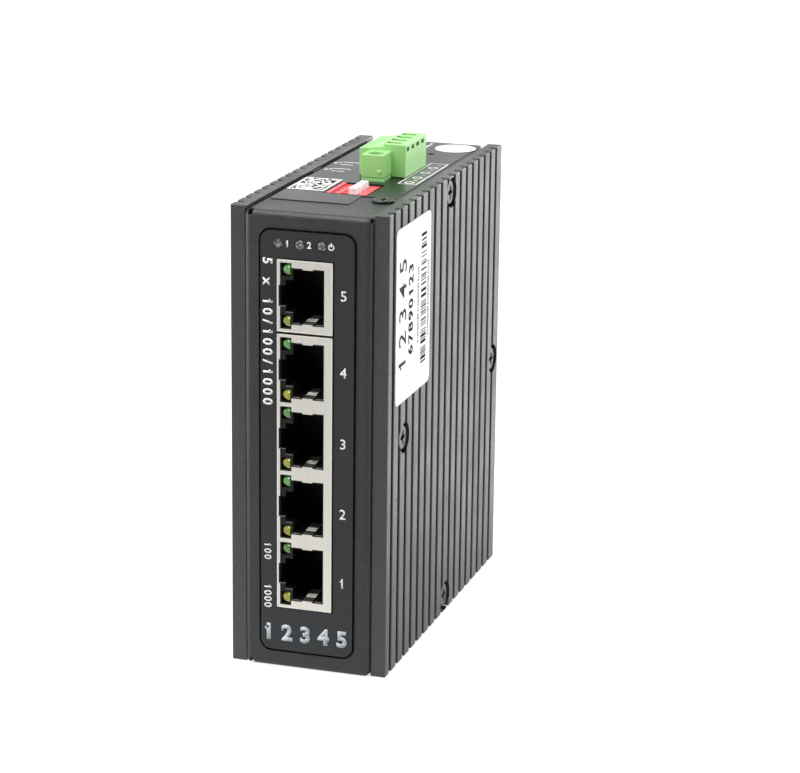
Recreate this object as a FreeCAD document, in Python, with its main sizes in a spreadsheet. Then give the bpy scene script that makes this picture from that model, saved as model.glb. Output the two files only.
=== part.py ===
import FreeCAD, Part
import os
import Sketcher

# Five-port rail-mounted network switch, in millimetres.
# X runs to the right, Y from the port side to the back, Z up.
# The origin is the middle of the underside of the folded case.

SIZES = [
    # folded steel case
    ("case_width", 29.8),
    ("case_depth", 91.2),
    ("foot_margin", 14.83),
    ("head_margin", 7.1),
    ("sheet", 1.2),
    ("bend", 1.4),
    ("top_flange", 8.0),
    ("front_flange", 5.0),
    ("tab_depth", 18.5),
    ("tab_height", 19.0),
    ("relief_edge", 0.7),
    ("relief_slot", 1.0),
    ("relief_back", 2.0),
    ("relief_drop", 1.3),
    ("rear_flange", 9.0),
    ("rear_open", 3.2),
    ("slip", 0.1),
    # finned side panels
    ("panel_thickness", 3.3),
    ("panel_gap", 0.3),
    ("panel_recess", 1.1),
    ("panel_rear", 0.1),
    ("panel_lift", 0.1),
    ("panel_rise", 0.6),
    ("panel_edge", 0.5),
    ("groove_pitch", 5.09),
    ("groove_width", 1.5),
    ("groove_cut", 1.7),
    ("groove_first", 3.6),
    ("screw_column", 48.3),
    ("screw_edge", 3.8),
    ("screw_front", 13.6),
    ("screw_rear", 4.6),
    ("sink_radius", 3.57),
    ("sink_floor", 1.0),
    ("panel_boss", 3.0),
    # M3 fasteners
    ("thread", 3.0),
    ("thread_slack", 0.2),
    ("tap_slack", 0.02),
    ("shank_slack", 0.05),
    ("head_radius", 2.8),
    ("head_height", 1.9),
    ("cross_width", 0.7),
    ("cross_span", 3.0),
    ("cross_cut", 1.0),
    ("panel_screw", 5.0),
    ("board_screw", 4.0),
    ("bracket_screw", 4.0),
    # socket bank
    ("port_pitch", 15.93),
    ("can_left", 7.0),
    ("can_right", 6.0),
    ("can_half", 8.2),
    ("can_gap", 0.53),
    ("can_depth", 25.0),
    ("can_proud", 0.45),
    ("can_sheet", 0.3),
    ("can_slack", 0.25),
    ("window_left", 6.26),
    ("window_step", 3.57),
    ("window_right", 4.05),
    ("window_tall", 7.5),
    ("window_half", 6.43),
    ("notch_left", 6.6),
    ("notch_half", 2.4),
    ("bay_left", 3.3),
    ("bay_right", 3.75),
    ("bay_half", 6.05),
    ("bay_depth", 15.0),
    ("key_left", 5.08),
    ("key_half", 3.6),
    ("latch_left", 6.3),
    ("latch_half", 2.3),
    ("lamp_left", 6.0),
    ("lamp_right", 3.95),
    ("lamp_low", 4.45),
    ("lamp_high", 7.25),
    ("lamp_depth", 9.0),
    ("lamp_edge", 0.6),
    ("lamp_sunk", 0.1),
    ("tongue_left", 1.0),
    ("tongue_right", 1.4),
    ("tongue_length", 7.0),
    ("tongue_lean", 0.55),
    ("tongue_slack", 0.15),
    ("wire_pitch", 1.02),
    ("wire_width", 0.42),
    ("wire_front", 6.5),
    ("wire_rise", 1.6),
    # indicator lights
    ("light_rise", 3.45),
    ("light_pitch", 5.08),
    ("light_middle", 1.8),
    ("light_radius", 1.08),
    ("light_slack", 0.12),
    ("light_reach", 2.5),
    ("light_bar", 2.0),
    # overlays and stickers
    ("film", 0.2),
    ("paper", 0.1),
    ("front_film_left", 4.2),
    ("front_film_right", 5.2),
    ("front_film_foot", 4.1),
    ("front_film_head", 3.2),
    ("front_film_round", 2.85),
    ("top_film_front", 12.1),
    ("top_film_rear", 2.7),
    ("top_film_side", 1.5),
    ("top_film_round", 1.0),
    ("top_notch_x", 5.3),
    ("top_notch_y", 21.3),
    ("note_front", 5.7),
    ("note_width", 25.65),
    ("note_height", 40.2),
    ("note_drop", 4.3),
    ("note_round", 1.7),
    ("dot_inset", 6.1),
    ("dot_rear", 7.7),
    ("dot_radius", 5.0),
    ("code_inset", 1.6),
    ("code_width", 8.8),
    ("code_front", 23.3),
    ("code_length", 13.7),
    # main board
    ("board", 1.6),
    ("board_front", 4.0),
    ("board_rear", 5.2),
    ("board_low", 5.5),
    ("board_high", 4.0),
    ("post_flat", 2.4),
    ("post_tap", 5.0),
    ("post_low", 6.2),
    ("post_high", 9.5),
    ("post_front", 31.0),
    ("post_rear", 8.0),
    ("chip_side", 17.0),
    ("chip_thick", 1.6),
    ("chip_y", 46.0),
    ("chip_rise", 1.75),
    ("pad_inset", 1.0),
    ("cap_radius", 4.0),
    ("cap_length", 9.0),
    ("cap_rear", 19.0),
    ("cap_low", 58.0),
    ("cap_pitch", 12.0),
    ("coil_side", 10.0),
    ("coil_tall", 5.0),
    ("coil_low", 36.0),
    ("coil_round", 1.5),
    # setting switch
    ("slide_left", 2.8),
    ("slide_middle", 28.3),
    ("slide_length", 12.2),
    ("slide_drop", 0.15),
    ("slide_tall", 8.5),
    ("slide_slack", 0.2),
    ("lever_pitch", 2.54),
    ("lever_x", 2.3),
    ("lever_long", 1.9),
    ("lever_wide", 1.35),
    ("lever_tall", 1.6),
    ("lever_root", 0.6),
    ("lever_travel", 2.0),
    ("lever_play", 0.1),
    ("lever_edge", 0.2),
    # power plug and its socket
    ("way_pitch", 3.81),
    ("plug_middle", 51.9),
    ("plug_end", 0.96),
    ("plug_left", 2.8),
    ("plug_right", 8.5),
    ("plug_tall", 8.0),
    ("plug_flat", 3.0),
    ("plug_ridge", 0.7),
    ("plug_slope", 1.3),
    ("plug_lift", 0.12),
    ("ear_left", 0.45),
    ("ear_right", 5.0),
    ("ear_length", 5.7),
    ("ear_tall", 6.3),
    ("nose_wall", 1.2),
    ("nose_depth", 6.6),
    ("entry_left", 3.4),
    ("entry_right", 6.8),
    ("entry_wide", 1.9),
    ("entry_deep", 5.0),
    ("peep_wide", 1.5),
    ("peep_tall", 0.9),
    ("peep_deep", 1.0),
    ("peep_down", 0.8),
    ("peep_shift", 0.8),
    ("driver_radius", 1.45),
    ("driver_slack", 0.1),
    ("driver_down", 3.6),
    ("driver_deep", 4.2),
    ("driver_head", 1.8),
    ("socket_deep", 9.4),
    ("socket_rim", 0.9),
    ("socket_wall", 0.9),
    ("socket_slack", 0.3),
    ("pin_side", 1.0),
    ("pin_slack", 0.15),
    ("pin_x", 2.3),
    ("pin_below", 1.4),
    ("pin_up", 7.6),
    ("pin_tail", 0.8),
    ("lock_radius", 1.2),
    ("lock_slack", 0.15),
    ("lock_head", 1.8),
    ("lock_sunk", 0.6),
    ("lock_thick", 1.5),
    ("lock_reach", 3.4),
    ("slot_wide", 0.5),
    ("slot_deep", 0.7),
    # earth screw
    ("earth_inset", 3.4),
    ("earth_y", 18.0),
    ("earth_radius", 2.62),
    ("earth_head", 0.6),
    ("earth_shank", 5.0),
    # rail clip
    ("rail_height", 35.0),
    ("rail_play", 0.3),
    ("rail_slot", 1.6),
    ("clip_half", 12.0),
    ("clip_sheet", 1.5),
    ("clip_drop", 19.75),
    ("clip_screw_rise", 9.75),
    ("hook_lip", 4.0),
    ("latch_lip", 3.0),
    ("latch_half_width", 8.0),
    ("latch_travel", 4.0),
    ("latch_tail", 8.0),
    ("guide_cover", 2.0),
    ("spring_rise", 4.0),
    ("spring_pitch", 2.0),
    ("spring_strip", 0.5),
    ("spring_half", 3.0),
    ("spring_thick", 1.2),
]


# how far a cutting tool runs past the material
MARGIN = 1.0
# how far a hexagon's corner stands out for each unit of its half width
HEX_CORNER = 1.1547
GANG_PORTS = 4
WIRES = 8
WAYS = 4
SPRING_BARS = 5


def centred(count):
    """Steps from the middle for a row of evenly spaced things."""
    return [step - (count - 1) / 2 for step in range(count)]


class Length:
    """A size known both as a number and as an expression over the sheet."""

    def __init__(self, text, value):
        self.text = text
        self.value = float(value)

    def __add__(self, other):
        other = length(other)
        return Length(f"({self.text} + {other.text})", self.value + other.value)

    def __sub__(self, other):
        other = length(other)
        return Length(f"({self.text} - {other.text})", self.value - other.value)

    def __mul__(self, factor):
        return Length(f"{self.text} * {factor}", self.value * factor)

    def __truediv__(self, factor):
        return Length(f"{self.text} / {factor}", self.value / factor)

    def __neg__(self):
        return Length(f"(0 - {self.text})", -self.value)

    __radd__ = __add__
    __rmul__ = __mul__


def length(number):
    """Wrap a bare number, leaving a Length as it is."""
    if isinstance(number, Length):
        return number
    return Length(f"{float(number)}", number)


doc = FreeCAD.newDocument("network_switch")
sheet = doc.addObject("Spreadsheet::Sheet", "sizes")
sizes = {}
for row, (alias, number) in enumerate(SIZES, start=1):
    sheet.set(f"A{row}", alias)
    sheet.set(f"B{row}", str(number))
    sheet.setAlias(f"B{row}", alias)
    sizes[alias] = Length(f"sizes.{alias}", number)
doc.recompute()


def size(alias):
    """One driving size from the sheet."""
    return sizes[alias]


def bind(thing, prop, value):
    """Tie a property of an object to the sheet."""
    thing.setExpression(prop, length(value).text)


pieces = []


def new_body(label):
    """Start a piece of its own, which may hold several separate solids."""
    body = doc.addObject("PartDesign::Body", label)
    body.Label = label
    body.AllowCompound = True
    pieces.append(body)
    return body


def origin_plane(body, role):
    """The body's own plane with that role."""
    return [item for item in body.Origin.OriginFeatures if item.Role == role][0]


def new_sketch(body, role, offset):
    """A sketch on an origin plane, moved along that plane's normal."""
    sketch = body.newObject("Sketcher::SketchObject", f"{body.Label}_sketch")
    sketch.AttachmentSupport = (origin_plane(body, role), [""])
    sketch.MapMode = "FlatFace"
    bind(sketch, "AttachmentOffset.Base.z", offset)
    return sketch


def outline(*corners):
    """A closed outline of straight sides through the corners."""
    return ("outline", corners)


def block(left, right, low, high):
    """A rectangle between two pairs of coordinates."""
    return outline((left, low), (right, low), (right, high), (left, high))


def disc(across, up, radius):
    """A circle about a point."""
    return ("disc", (across, up, radius))


def pin_down(sketch, index, vertex, across, up):
    """Hold one point of the sketch at two sizes from the origin."""
    for kind, value in (("DistanceX", length(across)), ("DistanceY", length(up))):
        number = sketch.addConstraint(Sketcher.Constraint(kind, -1, 1, index, vertex, value.value))
        sketch.setExpression(f"Constraints[{number}]", value.text)


def draw(sketch, shapes):
    """Draw the outlines and circles and tie every point to the sheet."""
    for kind, data in shapes:
        if kind == "disc":
            across, up, radius = (length(item) for item in data)
            centre = FreeCAD.Vector(across.value, up.value, 0)
            circle = Part.Circle(centre, FreeCAD.Vector(0, 0, 1), radius.value)
            index = sketch.addGeometry(circle, False)
            pin_down(sketch, index, 3, across, up)
            number = sketch.addConstraint(Sketcher.Constraint("Radius", index, radius.value))
            sketch.setExpression(f"Constraints[{number}]", radius.text)
            continue
        corners = [(length(across), length(up)) for across, up in data]
        points = [FreeCAD.Vector(across.value, up.value, 0) for across, up in corners]
        first = len(sketch.Geometry)
        count = len(points)
        for step in range(count):
            side = Part.LineSegment(points[step], points[(step + 1) % count])
            sketch.addGeometry(side, False)
        for step in range(count):
            following = first + (step + 1) % count
            sketch.addConstraint(Sketcher.Constraint("Coincident", first + step, 2, following, 1))
            pin_down(sketch, first + step, 1, *corners[step])


def add(body, role, start, end, *shapes):
    """Pad the shapes from one coordinate to the other across an origin plane."""
    start = length(start)
    end = length(end)
    offset = -end if role == "XZ_Plane" else start
    sketch = new_sketch(body, role, offset)
    draw(sketch, shapes)
    pad = body.newObject("PartDesign::Pad", f"{body.Label}_pad")
    pad.Profile = sketch
    bind(pad, "Length", end - start)
    doc.recompute()
    return pad


def cut(body, role, start, end, *shapes):
    """Pocket the shapes between two coordinates across an origin plane."""
    start = length(start)
    end = length(end)
    before = body.Shape.Volume
    offset = -start if role == "XZ_Plane" else end
    sketch = new_sketch(body, role, offset)
    draw(sketch, shapes)
    pocket = body.newObject("PartDesign::Pocket", f"{body.Label}_pocket")
    pocket.Profile = sketch
    bind(pocket, "Length", end - start)
    doc.recompute()
    if body.Shape.Volume >= before:
        raise RuntimeError(f"{body.Label}: a pocket cuts nothing")
    return pocket


def repeat(body, features, axis_role, pitch, count):
    """Copy features along an origin axis at a pitch tied to the sheet."""
    pattern = body.newObject("PartDesign::LinearPattern", f"{body.Label}_pattern")
    pattern.Originals = features
    axis = [item for item in body.Origin.OriginFeatures if item.Role == axis_role][0]
    pattern.Direction = (axis, [""])
    pattern.Mode = "Spacing"
    bind(pattern, "Offset", pitch)
    bind(pattern, "Occurrences", count)
    body.Tip = pattern
    doc.recompute()
    return pattern


def round_edges(body, radius, chosen):
    """Fillet the edges of the tip that the test picks."""
    base = body.Tip
    names = [f"Edge{number}" for number, edge in enumerate(base.Shape.Edges, start=1) if chosen(edge)]
    if not names:
        raise RuntimeError(f"{body.Label}: no edge to round")
    fillet = body.newObject("PartDesign::Fillet", f"{body.Label}_fillet")
    fillet.Base = (base, names)
    bind(fillet, "Radius", radius)
    doc.recompute()
    return fillet


def chamfer_edges(body, width, chosen):
    """Chamfer the edges of the tip that the test picks."""
    base = body.Tip
    names = [f"Edge{number}" for number, edge in enumerate(base.Shape.Edges, start=1) if chosen(edge)]
    if not names:
        raise RuntimeError(f"{body.Label}: no edge to chamfer")
    chamfer = body.newObject("PartDesign::Chamfer", f"{body.Label}_chamfer")
    chamfer.Base = (base, names)
    bind(chamfer, "Size", width)
    doc.recompute()
    return chamfer


def copies(room, pitch):
    """How many copies at a pitch fit a room that already holds the first."""
    count = int(room.value / pitch.value) + 1
    return Length(f"floor({room.text} / {pitch.text}) + 1", count)


def near(number, value):
    """Whether a coordinate lies on a size."""
    return abs(number - length(value).value) < 1e-4


def along(edge, axis):
    """Whether a straight edge runs along the axis named x, y or z."""
    spans = {"x": edge.BoundBox.XLength, "y": edge.BoundBox.YLength, "z": edge.BoundBox.ZLength}
    own = spans.pop(axis)
    return own > 1e-4 and max(spans.values()) < 1e-4


def flat_at(edge, axis, value):
    """Whether an edge lies wholly in the plane at a size along x or y or z."""
    box = edge.BoundBox
    low, high = {"x": (box.XMin, box.XMax), "y": (box.YMin, box.YMax), "z": (box.ZMin, box.ZMax)}[axis]
    return near(low, value) and near(high, value)


# shared places, worked out from the sizes

half = size("case_width") / 2
front = -size("case_depth") / 2
rear = size("case_depth") / 2
wall = size("sheet")
slip = size("slip")


def from_front(distance):
    """A place behind the case's front face."""
    return front + distance


can_left = -size("can_left")
can_right = size("can_right")
can_front = front - size("can_proud")
can_rear = can_front + size("can_depth")
lining = size("can_sheet")
moulding_front = can_front + lining
gang_low = size("foot_margin")
gang_heights = [
    gang_low + size("can_half") + size("port_pitch") * step for step in range(GANG_PORTS)
]
gang_high = gang_heights[-1] + size("can_half")
single_low = gang_high + size("can_gap")
port_top = single_low + size("can_half")
single_high = port_top + size("can_half")
port_heights = gang_heights + [port_top]
light_height = single_high + size("light_rise")
top = light_height + size("head_margin")
bank_window = block(
    can_left - size("can_slack"),
    can_right + size("can_slack"),
    gang_low - size("can_slack"),
    single_high + size("can_slack"),
)

panel_inner = half + size("panel_gap")
panel_outer = panel_inner + size("panel_thickness")
panel_front = from_front(size("panel_recess"))
panel_rear = rear - size("panel_rear")
panel_low = size("panel_lift")
panel_top = top + size("panel_rise")
panel_middle = (panel_low + panel_top) / 2
sink_face = panel_inner + size("sink_floor")
thread_radius = size("thread") / 2
clear_radius = thread_radius + size("thread_slack")
tap_radius = thread_radius + size("tap_slack")
shank_radius = thread_radius - size("shank_slack")
PANEL_SCREWS = [
    (from_front(size("screw_column")), panel_low + size("screw_edge")),
    (from_front(size("screw_column")), panel_top - size("screw_edge")),
    (from_front(size("screw_front")), panel_middle),
    (rear - size("screw_rear"), panel_middle),
]

board_left = can_right
board_right = board_left + size("board")
board_rear = rear - size("board_rear")
light_places = [-size("light_middle") + size("light_pitch") * step for step in centred(3)]

slide_middle = from_front(size("slide_middle"))
slide_low_y = slide_middle - size("slide_length") / 2
slide_high_y = slide_middle + size("slide_length") / 2
slide_top = top - size("slide_drop")
slide_window = block(
    -size("slide_left") - size("slide_slack"),
    board_left + size("slide_slack"),
    slide_low_y - size("slide_slack"),
    slide_high_y + size("slide_slack"),
)
lever_places = [slide_middle + size("lever_pitch") * step for step in centred(WAYS)]

plug_middle = from_front(size("plug_middle"))
plug_half = (size("way_pitch") * WAYS + size("plug_end")) / 2
plug_front = plug_middle - plug_half
plug_rear = plug_middle + plug_half
ear_left = -size("ear_left")
ear_right = size("ear_right")
ear_front = plug_front - size("ear_length")
ear_rear = plug_rear + size("ear_length")
way_places = [plug_middle + size("way_pitch") * step for step in centred(WAYS)]
socket_window = block(
    ear_left - size("slide_slack"),
    ear_right + size("slide_slack"),
    ear_front - size("slide_slack"),
    ear_rear + size("slide_slack"),
)
socket_low = top - size("socket_deep")
socket_rim = top + size("socket_rim")
nose_left = ear_left + size("socket_wall") + size("socket_slack")
nose_right = ear_right - size("socket_wall") - size("socket_slack")
lock_x = (ear_left + ear_right) / 2
LOCKS = [plug_front - size("ear_length") / 2, plug_rear + size("ear_length") / 2]
plug_low = socket_rim + size("plug_lift")
skirt_low = top + size("film") + size("plug_lift")
plug_top = top + size("plug_tall")
ear_top = top + size("ear_tall")

earth_x = half - size("earth_inset")
earth_y = from_front(size("earth_y"))

clip_face = rear + size("clip_sheet")
rail_middle = top / 2
rail_top = rail_middle + size("rail_height") / 2
rail_low = rail_middle - size("rail_height") / 2
hook_low = rail_top + size("rail_play")
latch_top = rail_low - size("rail_play")
lip_face = clip_face + size("rail_slot")
clip_low = rail_low - size("clip_drop")
spring_low = clip_low + size("spring_rise")
spring_high = spring_low + size("spring_pitch") * (SPRING_BARS - 1) + size("spring_strip")
CLIP_SCREWS = [(length(0), rail_middle + size("clip_screw_rise") * side) for side in (-1, 1)]
POSTS = [
    (from_front(size("post_front")), size("board_low") + size("post_low")),
    (board_rear - size("post_rear"), size("board_low") + size("post_low")),
    (board_rear - size("post_rear"), top - size("board_high") - size("post_high")),
]


def build_case():
    """Front, top and underside folded from one sheet, with side flanges for the panels."""
    body = new_body("case_shell")
    add(body, "XY_Plane", 0, top, block(-half, half, front, rear))

    def folded(edge):
        box = edge.BoundBox
        return along(edge, "y") or (near(box.YMin, front) and near(box.YMax, front))

    round_edges(body, size("bend"), folded)
    cut(
        body,
        "YZ_Plane",
        -half + wall,
        half - wall,
        block(front + wall, rear + MARGIN, wall, top - wall),
    )
    flange = size("top_flange")
    lip = from_front(size("front_flange"))
    tab = from_front(size("tab_depth"))
    tab_half = size("tab_height") / 2
    cut(
        body,
        "YZ_Plane",
        -half - MARGIN,
        half + MARGIN,
        outline(
            (lip, flange),
            (rear + MARGIN, flange),
            (rear + MARGIN, top - flange),
            (lip, top - flange),
            (lip, panel_middle + tab_half),
            (tab, panel_middle + tab_half),
            (tab, panel_middle - tab_half),
            (lip, panel_middle - tab_half),
        ),
    )
    drop = size("relief_drop")
    behind = from_front(size("relief_back"))
    corners = [
        block(front - MARGIN, behind, -MARGIN, drop),
        block(front - MARGIN, behind, top - drop, top + MARGIN),
    ]
    slot = size("relief_slot")
    cut(body, "YZ_Plane", half - size("relief_edge"), half + MARGIN, *corners)
    cut(body, "YZ_Plane", -half + slot, -half + slot * 2, *corners)
    open_ends = [
        block(rear - size("rear_open"), rear + MARGIN, -MARGIN, flange + MARGIN),
        block(rear - size("rear_open"), rear + MARGIN, top - flange - MARGIN, top + MARGIN),
    ]
    cut(body, "YZ_Plane", half - size("bend"), half + MARGIN, *open_ends)
    cut(body, "YZ_Plane", -half - MARGIN, -half + size("bend"), *open_ends)

    def sheet_corner(edge):
        box = edge.BoundBox
        return along(edge, "z") and near(box.YMax, rear) and near(box.ZLength, wall)

    round_edges(body, size("bend"), sheet_corner)
    flange_holes = [disc(across, up, tap_radius) for across, up in PANEL_SCREWS[:3]]
    cut(body, "YZ_Plane", -half - MARGIN, half + MARGIN, *flange_holes)
    reach = size("light_radius") + size("light_slack")
    light_window = block(
        light_places[0] - reach,
        light_places[2] + reach,
        light_height - reach,
        light_height + reach,
    )
    cut(body, "XZ_Plane", front - MARGIN, front + wall + MARGIN, bank_window, light_window)
    earth = disc(earth_x, earth_y, tap_radius)
    cut(body, "XY_Plane", top - wall - MARGIN, top + MARGIN, slide_window, socket_window, earth)


def light_holes():
    """Clearance holes for the indicator lights."""
    radius = size("light_radius") + size("light_slack")
    return [disc(across, light_height, radius) for across in light_places]


def build_rear():
    """Back wall with flanges that carry the rear panel screws and the clip."""
    body = new_body("rear_plate")
    flange_front = rear - size("rear_flange")
    low = size("top_flange") + slip * 2
    high = top - size("top_flange") - slip * 2
    add(body, "XY_Plane", low, high, block(-half, half, flange_front, rear))
    round_edges(body, size("bend"), lambda edge: along(edge, "z") and near(edge.BoundBox.YMax, rear))
    inner = half - wall
    hollow = block(-inner, inner, flange_front - MARGIN, rear - wall)
    cut(body, "XY_Plane", low - MARGIN, high + MARGIN, hollow)
    side = half - size("bend") - slip
    add(body, "XZ_Plane", rear - wall, rear, block(-side, side, wall + slip, top - wall - slip))
    cut(body, "YZ_Plane", -half - MARGIN, half + MARGIN, disc(*PANEL_SCREWS[3], tap_radius))
    holes = [disc(across, up, tap_radius) for across, up in CLIP_SCREWS]
    cut(body, "XZ_Plane", rear - wall - MARGIN, rear + MARGIN, *holes)


def mirrored(side, inner, outer):
    """Two coordinates on the right when side is 1, or their mirror image when it is -1."""
    return (inner, outer) if side > 0 else (-outer, -inner)


def build_panel(label, side):
    """Finned cast panel on one side, side being 1 on the right and -1 on the left."""
    body = new_body(label)
    start, end = mirrored(side, panel_inner, panel_outer)
    add(body, "YZ_Plane", start, end, block(panel_front, panel_rear, panel_low, panel_top))
    face = end if side > 0 else start
    chamfer_edges(body, size("panel_edge"), lambda edge: flat_at(edge, "x", face))
    middle = panel_front + size("groove_first")
    width = size("groove_width")
    start, end = mirrored(side, panel_outer - size("groove_cut"), panel_outer + MARGIN)
    slot = block(start, end, middle - width / 2, middle + width / 2)
    groove = cut(body, "XY_Plane", panel_low - MARGIN, panel_top + MARGIN, slot)
    room = panel_rear - middle - width
    repeat(body, [groove], "Y_Axis", size("groove_pitch"), copies(room, size("groove_pitch")))
    sinks = [disc(across, up, size("sink_radius")) for across, up in PANEL_SCREWS]
    cut(body, "YZ_Plane", *mirrored(side, sink_face, panel_outer + MARGIN), *sinks)
    bosses = [square_about(across, up, size("panel_boss")) for across, up in PANEL_SCREWS]
    add(body, "YZ_Plane", *mirrored(side, half, panel_inner), *bosses)
    holes = [disc(across, up, clear_radius) for across, up in PANEL_SCREWS]
    cut(body, "YZ_Plane", *mirrored(side, half - MARGIN, panel_outer + MARGIN), *holes)


def plus_mark(across, up):
    """Outline of a cross recess about a point."""
    long = size("cross_span") / 2
    short = size("cross_width") / 2
    corners = []
    for turn_x, turn_y in ((1, 1), (-1, 1), (-1, -1), (1, -1)):
        side_tip = (long * turn_x, short * turn_y)
        corner = (short * turn_x, short * turn_y)
        end_tip = (short * turn_x, long * turn_y)
        tips = [side_tip, corner, end_tip]
        corners.extend(tips if turn_x * turn_y > 0 else reversed(tips))
    return outline(*[(across + step, up + rise) for step, rise in corners])


def build_panel_screws(label, side):
    """Pan-head screws that hold one finned panel."""
    body = new_body(label)
    crown = sink_face + size("head_height")
    heads = [disc(across, up, size("head_radius")) for across, up in PANEL_SCREWS]
    add(body, "YZ_Plane", *mirrored(side, sink_face, crown), *heads)
    shanks = [disc(across, up, shank_radius) for across, up in PANEL_SCREWS]
    add(body, "YZ_Plane", *mirrored(side, sink_face - size("panel_screw"), sink_face), *shanks)
    marks = [plus_mark(across, up) for across, up in PANEL_SCREWS]
    cut(body, "YZ_Plane", *mirrored(side, crown - size("cross_cut"), crown + MARGIN), *marks)


def build_front_film():
    """Printed film on the port side, cut round the sockets and lights."""
    body = new_body("front_label")
    face = front - size("film")
    film = block(
        can_left - size("front_film_left"),
        can_right + size("front_film_right"),
        size("front_film_foot"),
        light_height + size("front_film_head"),
    )
    add(body, "XZ_Plane", face, front, film)
    round_edges(body, size("front_film_round"), lambda edge: along(edge, "y"))
    cut(body, "XZ_Plane", face - MARGIN, front + MARGIN, bank_window, *light_holes())


def build_top_film():
    """Printed film on the top, cut round the plug socket, the switch and the earth screw."""
    body = new_body("top_label")
    side = half - size("top_film_side")
    ahead = from_front(size("top_film_front"))
    behind = rear - size("top_film_rear")
    notch_x = size("top_notch_x")
    notch_y = from_front(size("top_notch_y"))
    film = outline(
        (-side, ahead),
        (notch_x, ahead),
        (notch_x, notch_y),
        (side, notch_y),
        (side, behind),
        (-side, behind),
    )
    add(body, "XY_Plane", top, top + size("film"), film)

    def front_corner(edge):
        return along(edge, "z") and near(edge.BoundBox.YMax, ahead)

    round_edges(body, size("top_film_round"), front_corner)
    cut(body, "XY_Plane", top - MARGIN, top + MARGIN, slide_window, socket_window)


def build_stickers():
    """Paper stickers on the right panel and on the top film."""
    note = new_body("side_sticker")
    note_front = from_front(size("note_front"))
    note_top = panel_top - size("note_drop")
    label = block(note_front, note_front + size("note_width"), note_top - size("note_height"), note_top)
    add(note, "YZ_Plane", panel_outer, panel_outer + size("film"), label)
    round_edges(note, size("note_round"), lambda edge: along(edge, "x"))
    low = top + size("film")
    dot = new_body("round_sticker")
    spot = disc(half - size("dot_inset"), rear - size("dot_rear"), size("dot_radius"))
    add(dot, "XY_Plane", low, low + size("paper"), spot)
    code = new_body("code_sticker")
    code_left = -half + size("code_inset")
    code_front = from_front(size("code_front"))
    square = block(code_left, code_left + size("code_width"), code_front, code_front + size("code_length"))
    add(code, "XY_Plane", low, low + size("paper"), square)


def port_window(height):
    """Outline of one opening in the socket's steel can, with its latch notch."""
    left = -size("window_left")
    step = -size("window_step")
    tall = size("window_tall")
    low = size("window_half")
    notch = size("notch_half")
    return outline(
        (left, height - tall),
        (step, height - tall),
        (step, height - low),
        (size("window_right"), height - low),
        (size("window_right"), height + low),
        (step, height + low),
        (step, height + tall),
        (left, height + tall),
        (left, height + notch),
        (-size("notch_left"), height + notch),
        (-size("notch_left"), height - notch),
        (left, height - notch),
    )


def spring_tongue(height, side):
    """Side view of the sprung tongue at one rim of an opening."""
    ends = (can_front, can_front + size("tongue_length"))
    rim = height + size("window_half") * side
    tip = rim - size("tongue_lean") * side
    thick = lining * -side
    corners = [(ends[0], rim), (ends[1], tip), (ends[1], tip + thick), (ends[0], rim + thick)]
    return outline(*corners) if side > 0 else outline(*reversed(corners))


def build_can(label, low, high, heights):
    """Steel can round a socket moulding, with spring tongues at each opening."""
    body = new_body(label)
    add(body, "XZ_Plane", can_front, can_rear, block(can_left, can_right, low, high))
    hollow = block(can_left + lining, can_right - lining, low + lining, high - lining)
    cut(body, "XZ_Plane", can_front + lining, can_rear + MARGIN, hollow)
    windows = [port_window(height) for height in heights]
    cut(body, "XZ_Plane", can_front - MARGIN, can_front + lining + MARGIN, *windows)
    tongues = [spring_tongue(height, side) for height in heights for side in (-1, 1)]
    add(body, "YZ_Plane", -size("tongue_left"), size("tongue_right"), *tongues)


def lamp_block(height, side):
    """Outline of one port lamp above or below the latch channel."""
    rims = (height + size("lamp_low") * side, height + size("lamp_high") * side)
    ends = sorted(rims, key=lambda end: end.value)
    return block(-size("lamp_left"), -size("lamp_right"), *ends)


def plug_bay(height):
    """Outline of the bay for a cable's plug, with its key and latch channel."""
    bay = size("bay_half")
    key = size("key_half")
    latch = size("latch_half")
    return outline(
        (-size("bay_left"), height - bay),
        (size("bay_right"), height - bay),
        (size("bay_right"), height + bay),
        (-size("bay_left"), height + bay),
        (-size("bay_left"), height + key),
        (-size("key_left"), height + key),
        (-size("key_left"), height + latch),
        (-size("latch_left"), height + latch),
        (-size("latch_left"), height - latch),
        (-size("key_left"), height - latch),
        (-size("key_left"), height - key),
        (-size("bay_left"), height - key),
    )


def tongue_channel(height, side):
    """Outline of the channel that a spring tongue bends into."""
    rims = (height + size("bay_half") * side, height + size("window_half") * side)
    ends = sorted(rims, key=lambda end: end.value)
    slack = size("tongue_slack")
    return block(-size("tongue_left") - slack, size("tongue_right") + slack, *ends)


def build_moulding(label, low, high, heights):
    """Black socket moulding with a plug bay, key, latch channel and two lamp pockets per port."""
    body = new_body(label)
    shell = block(can_left + lining, can_right - lining, low + lining, high - lining)
    add(body, "XZ_Plane", moulding_front, can_rear, shell)
    deep = moulding_front + size("bay_depth")
    ahead = moulding_front - MARGIN
    lamps = [lamp_block(height, side) for height in heights for side in (-1, 1)]
    channels = [tongue_channel(height, side) for height in heights for side in (-1, 1)]
    cut(body, "XZ_Plane", ahead, deep, *[plug_bay(height) for height in heights])
    cut(body, "XZ_Plane", ahead, moulding_front + size("lamp_depth"), *lamps)
    cut(body, "XZ_Plane", ahead, moulding_front + size("tongue_length"), *channels)


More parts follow.
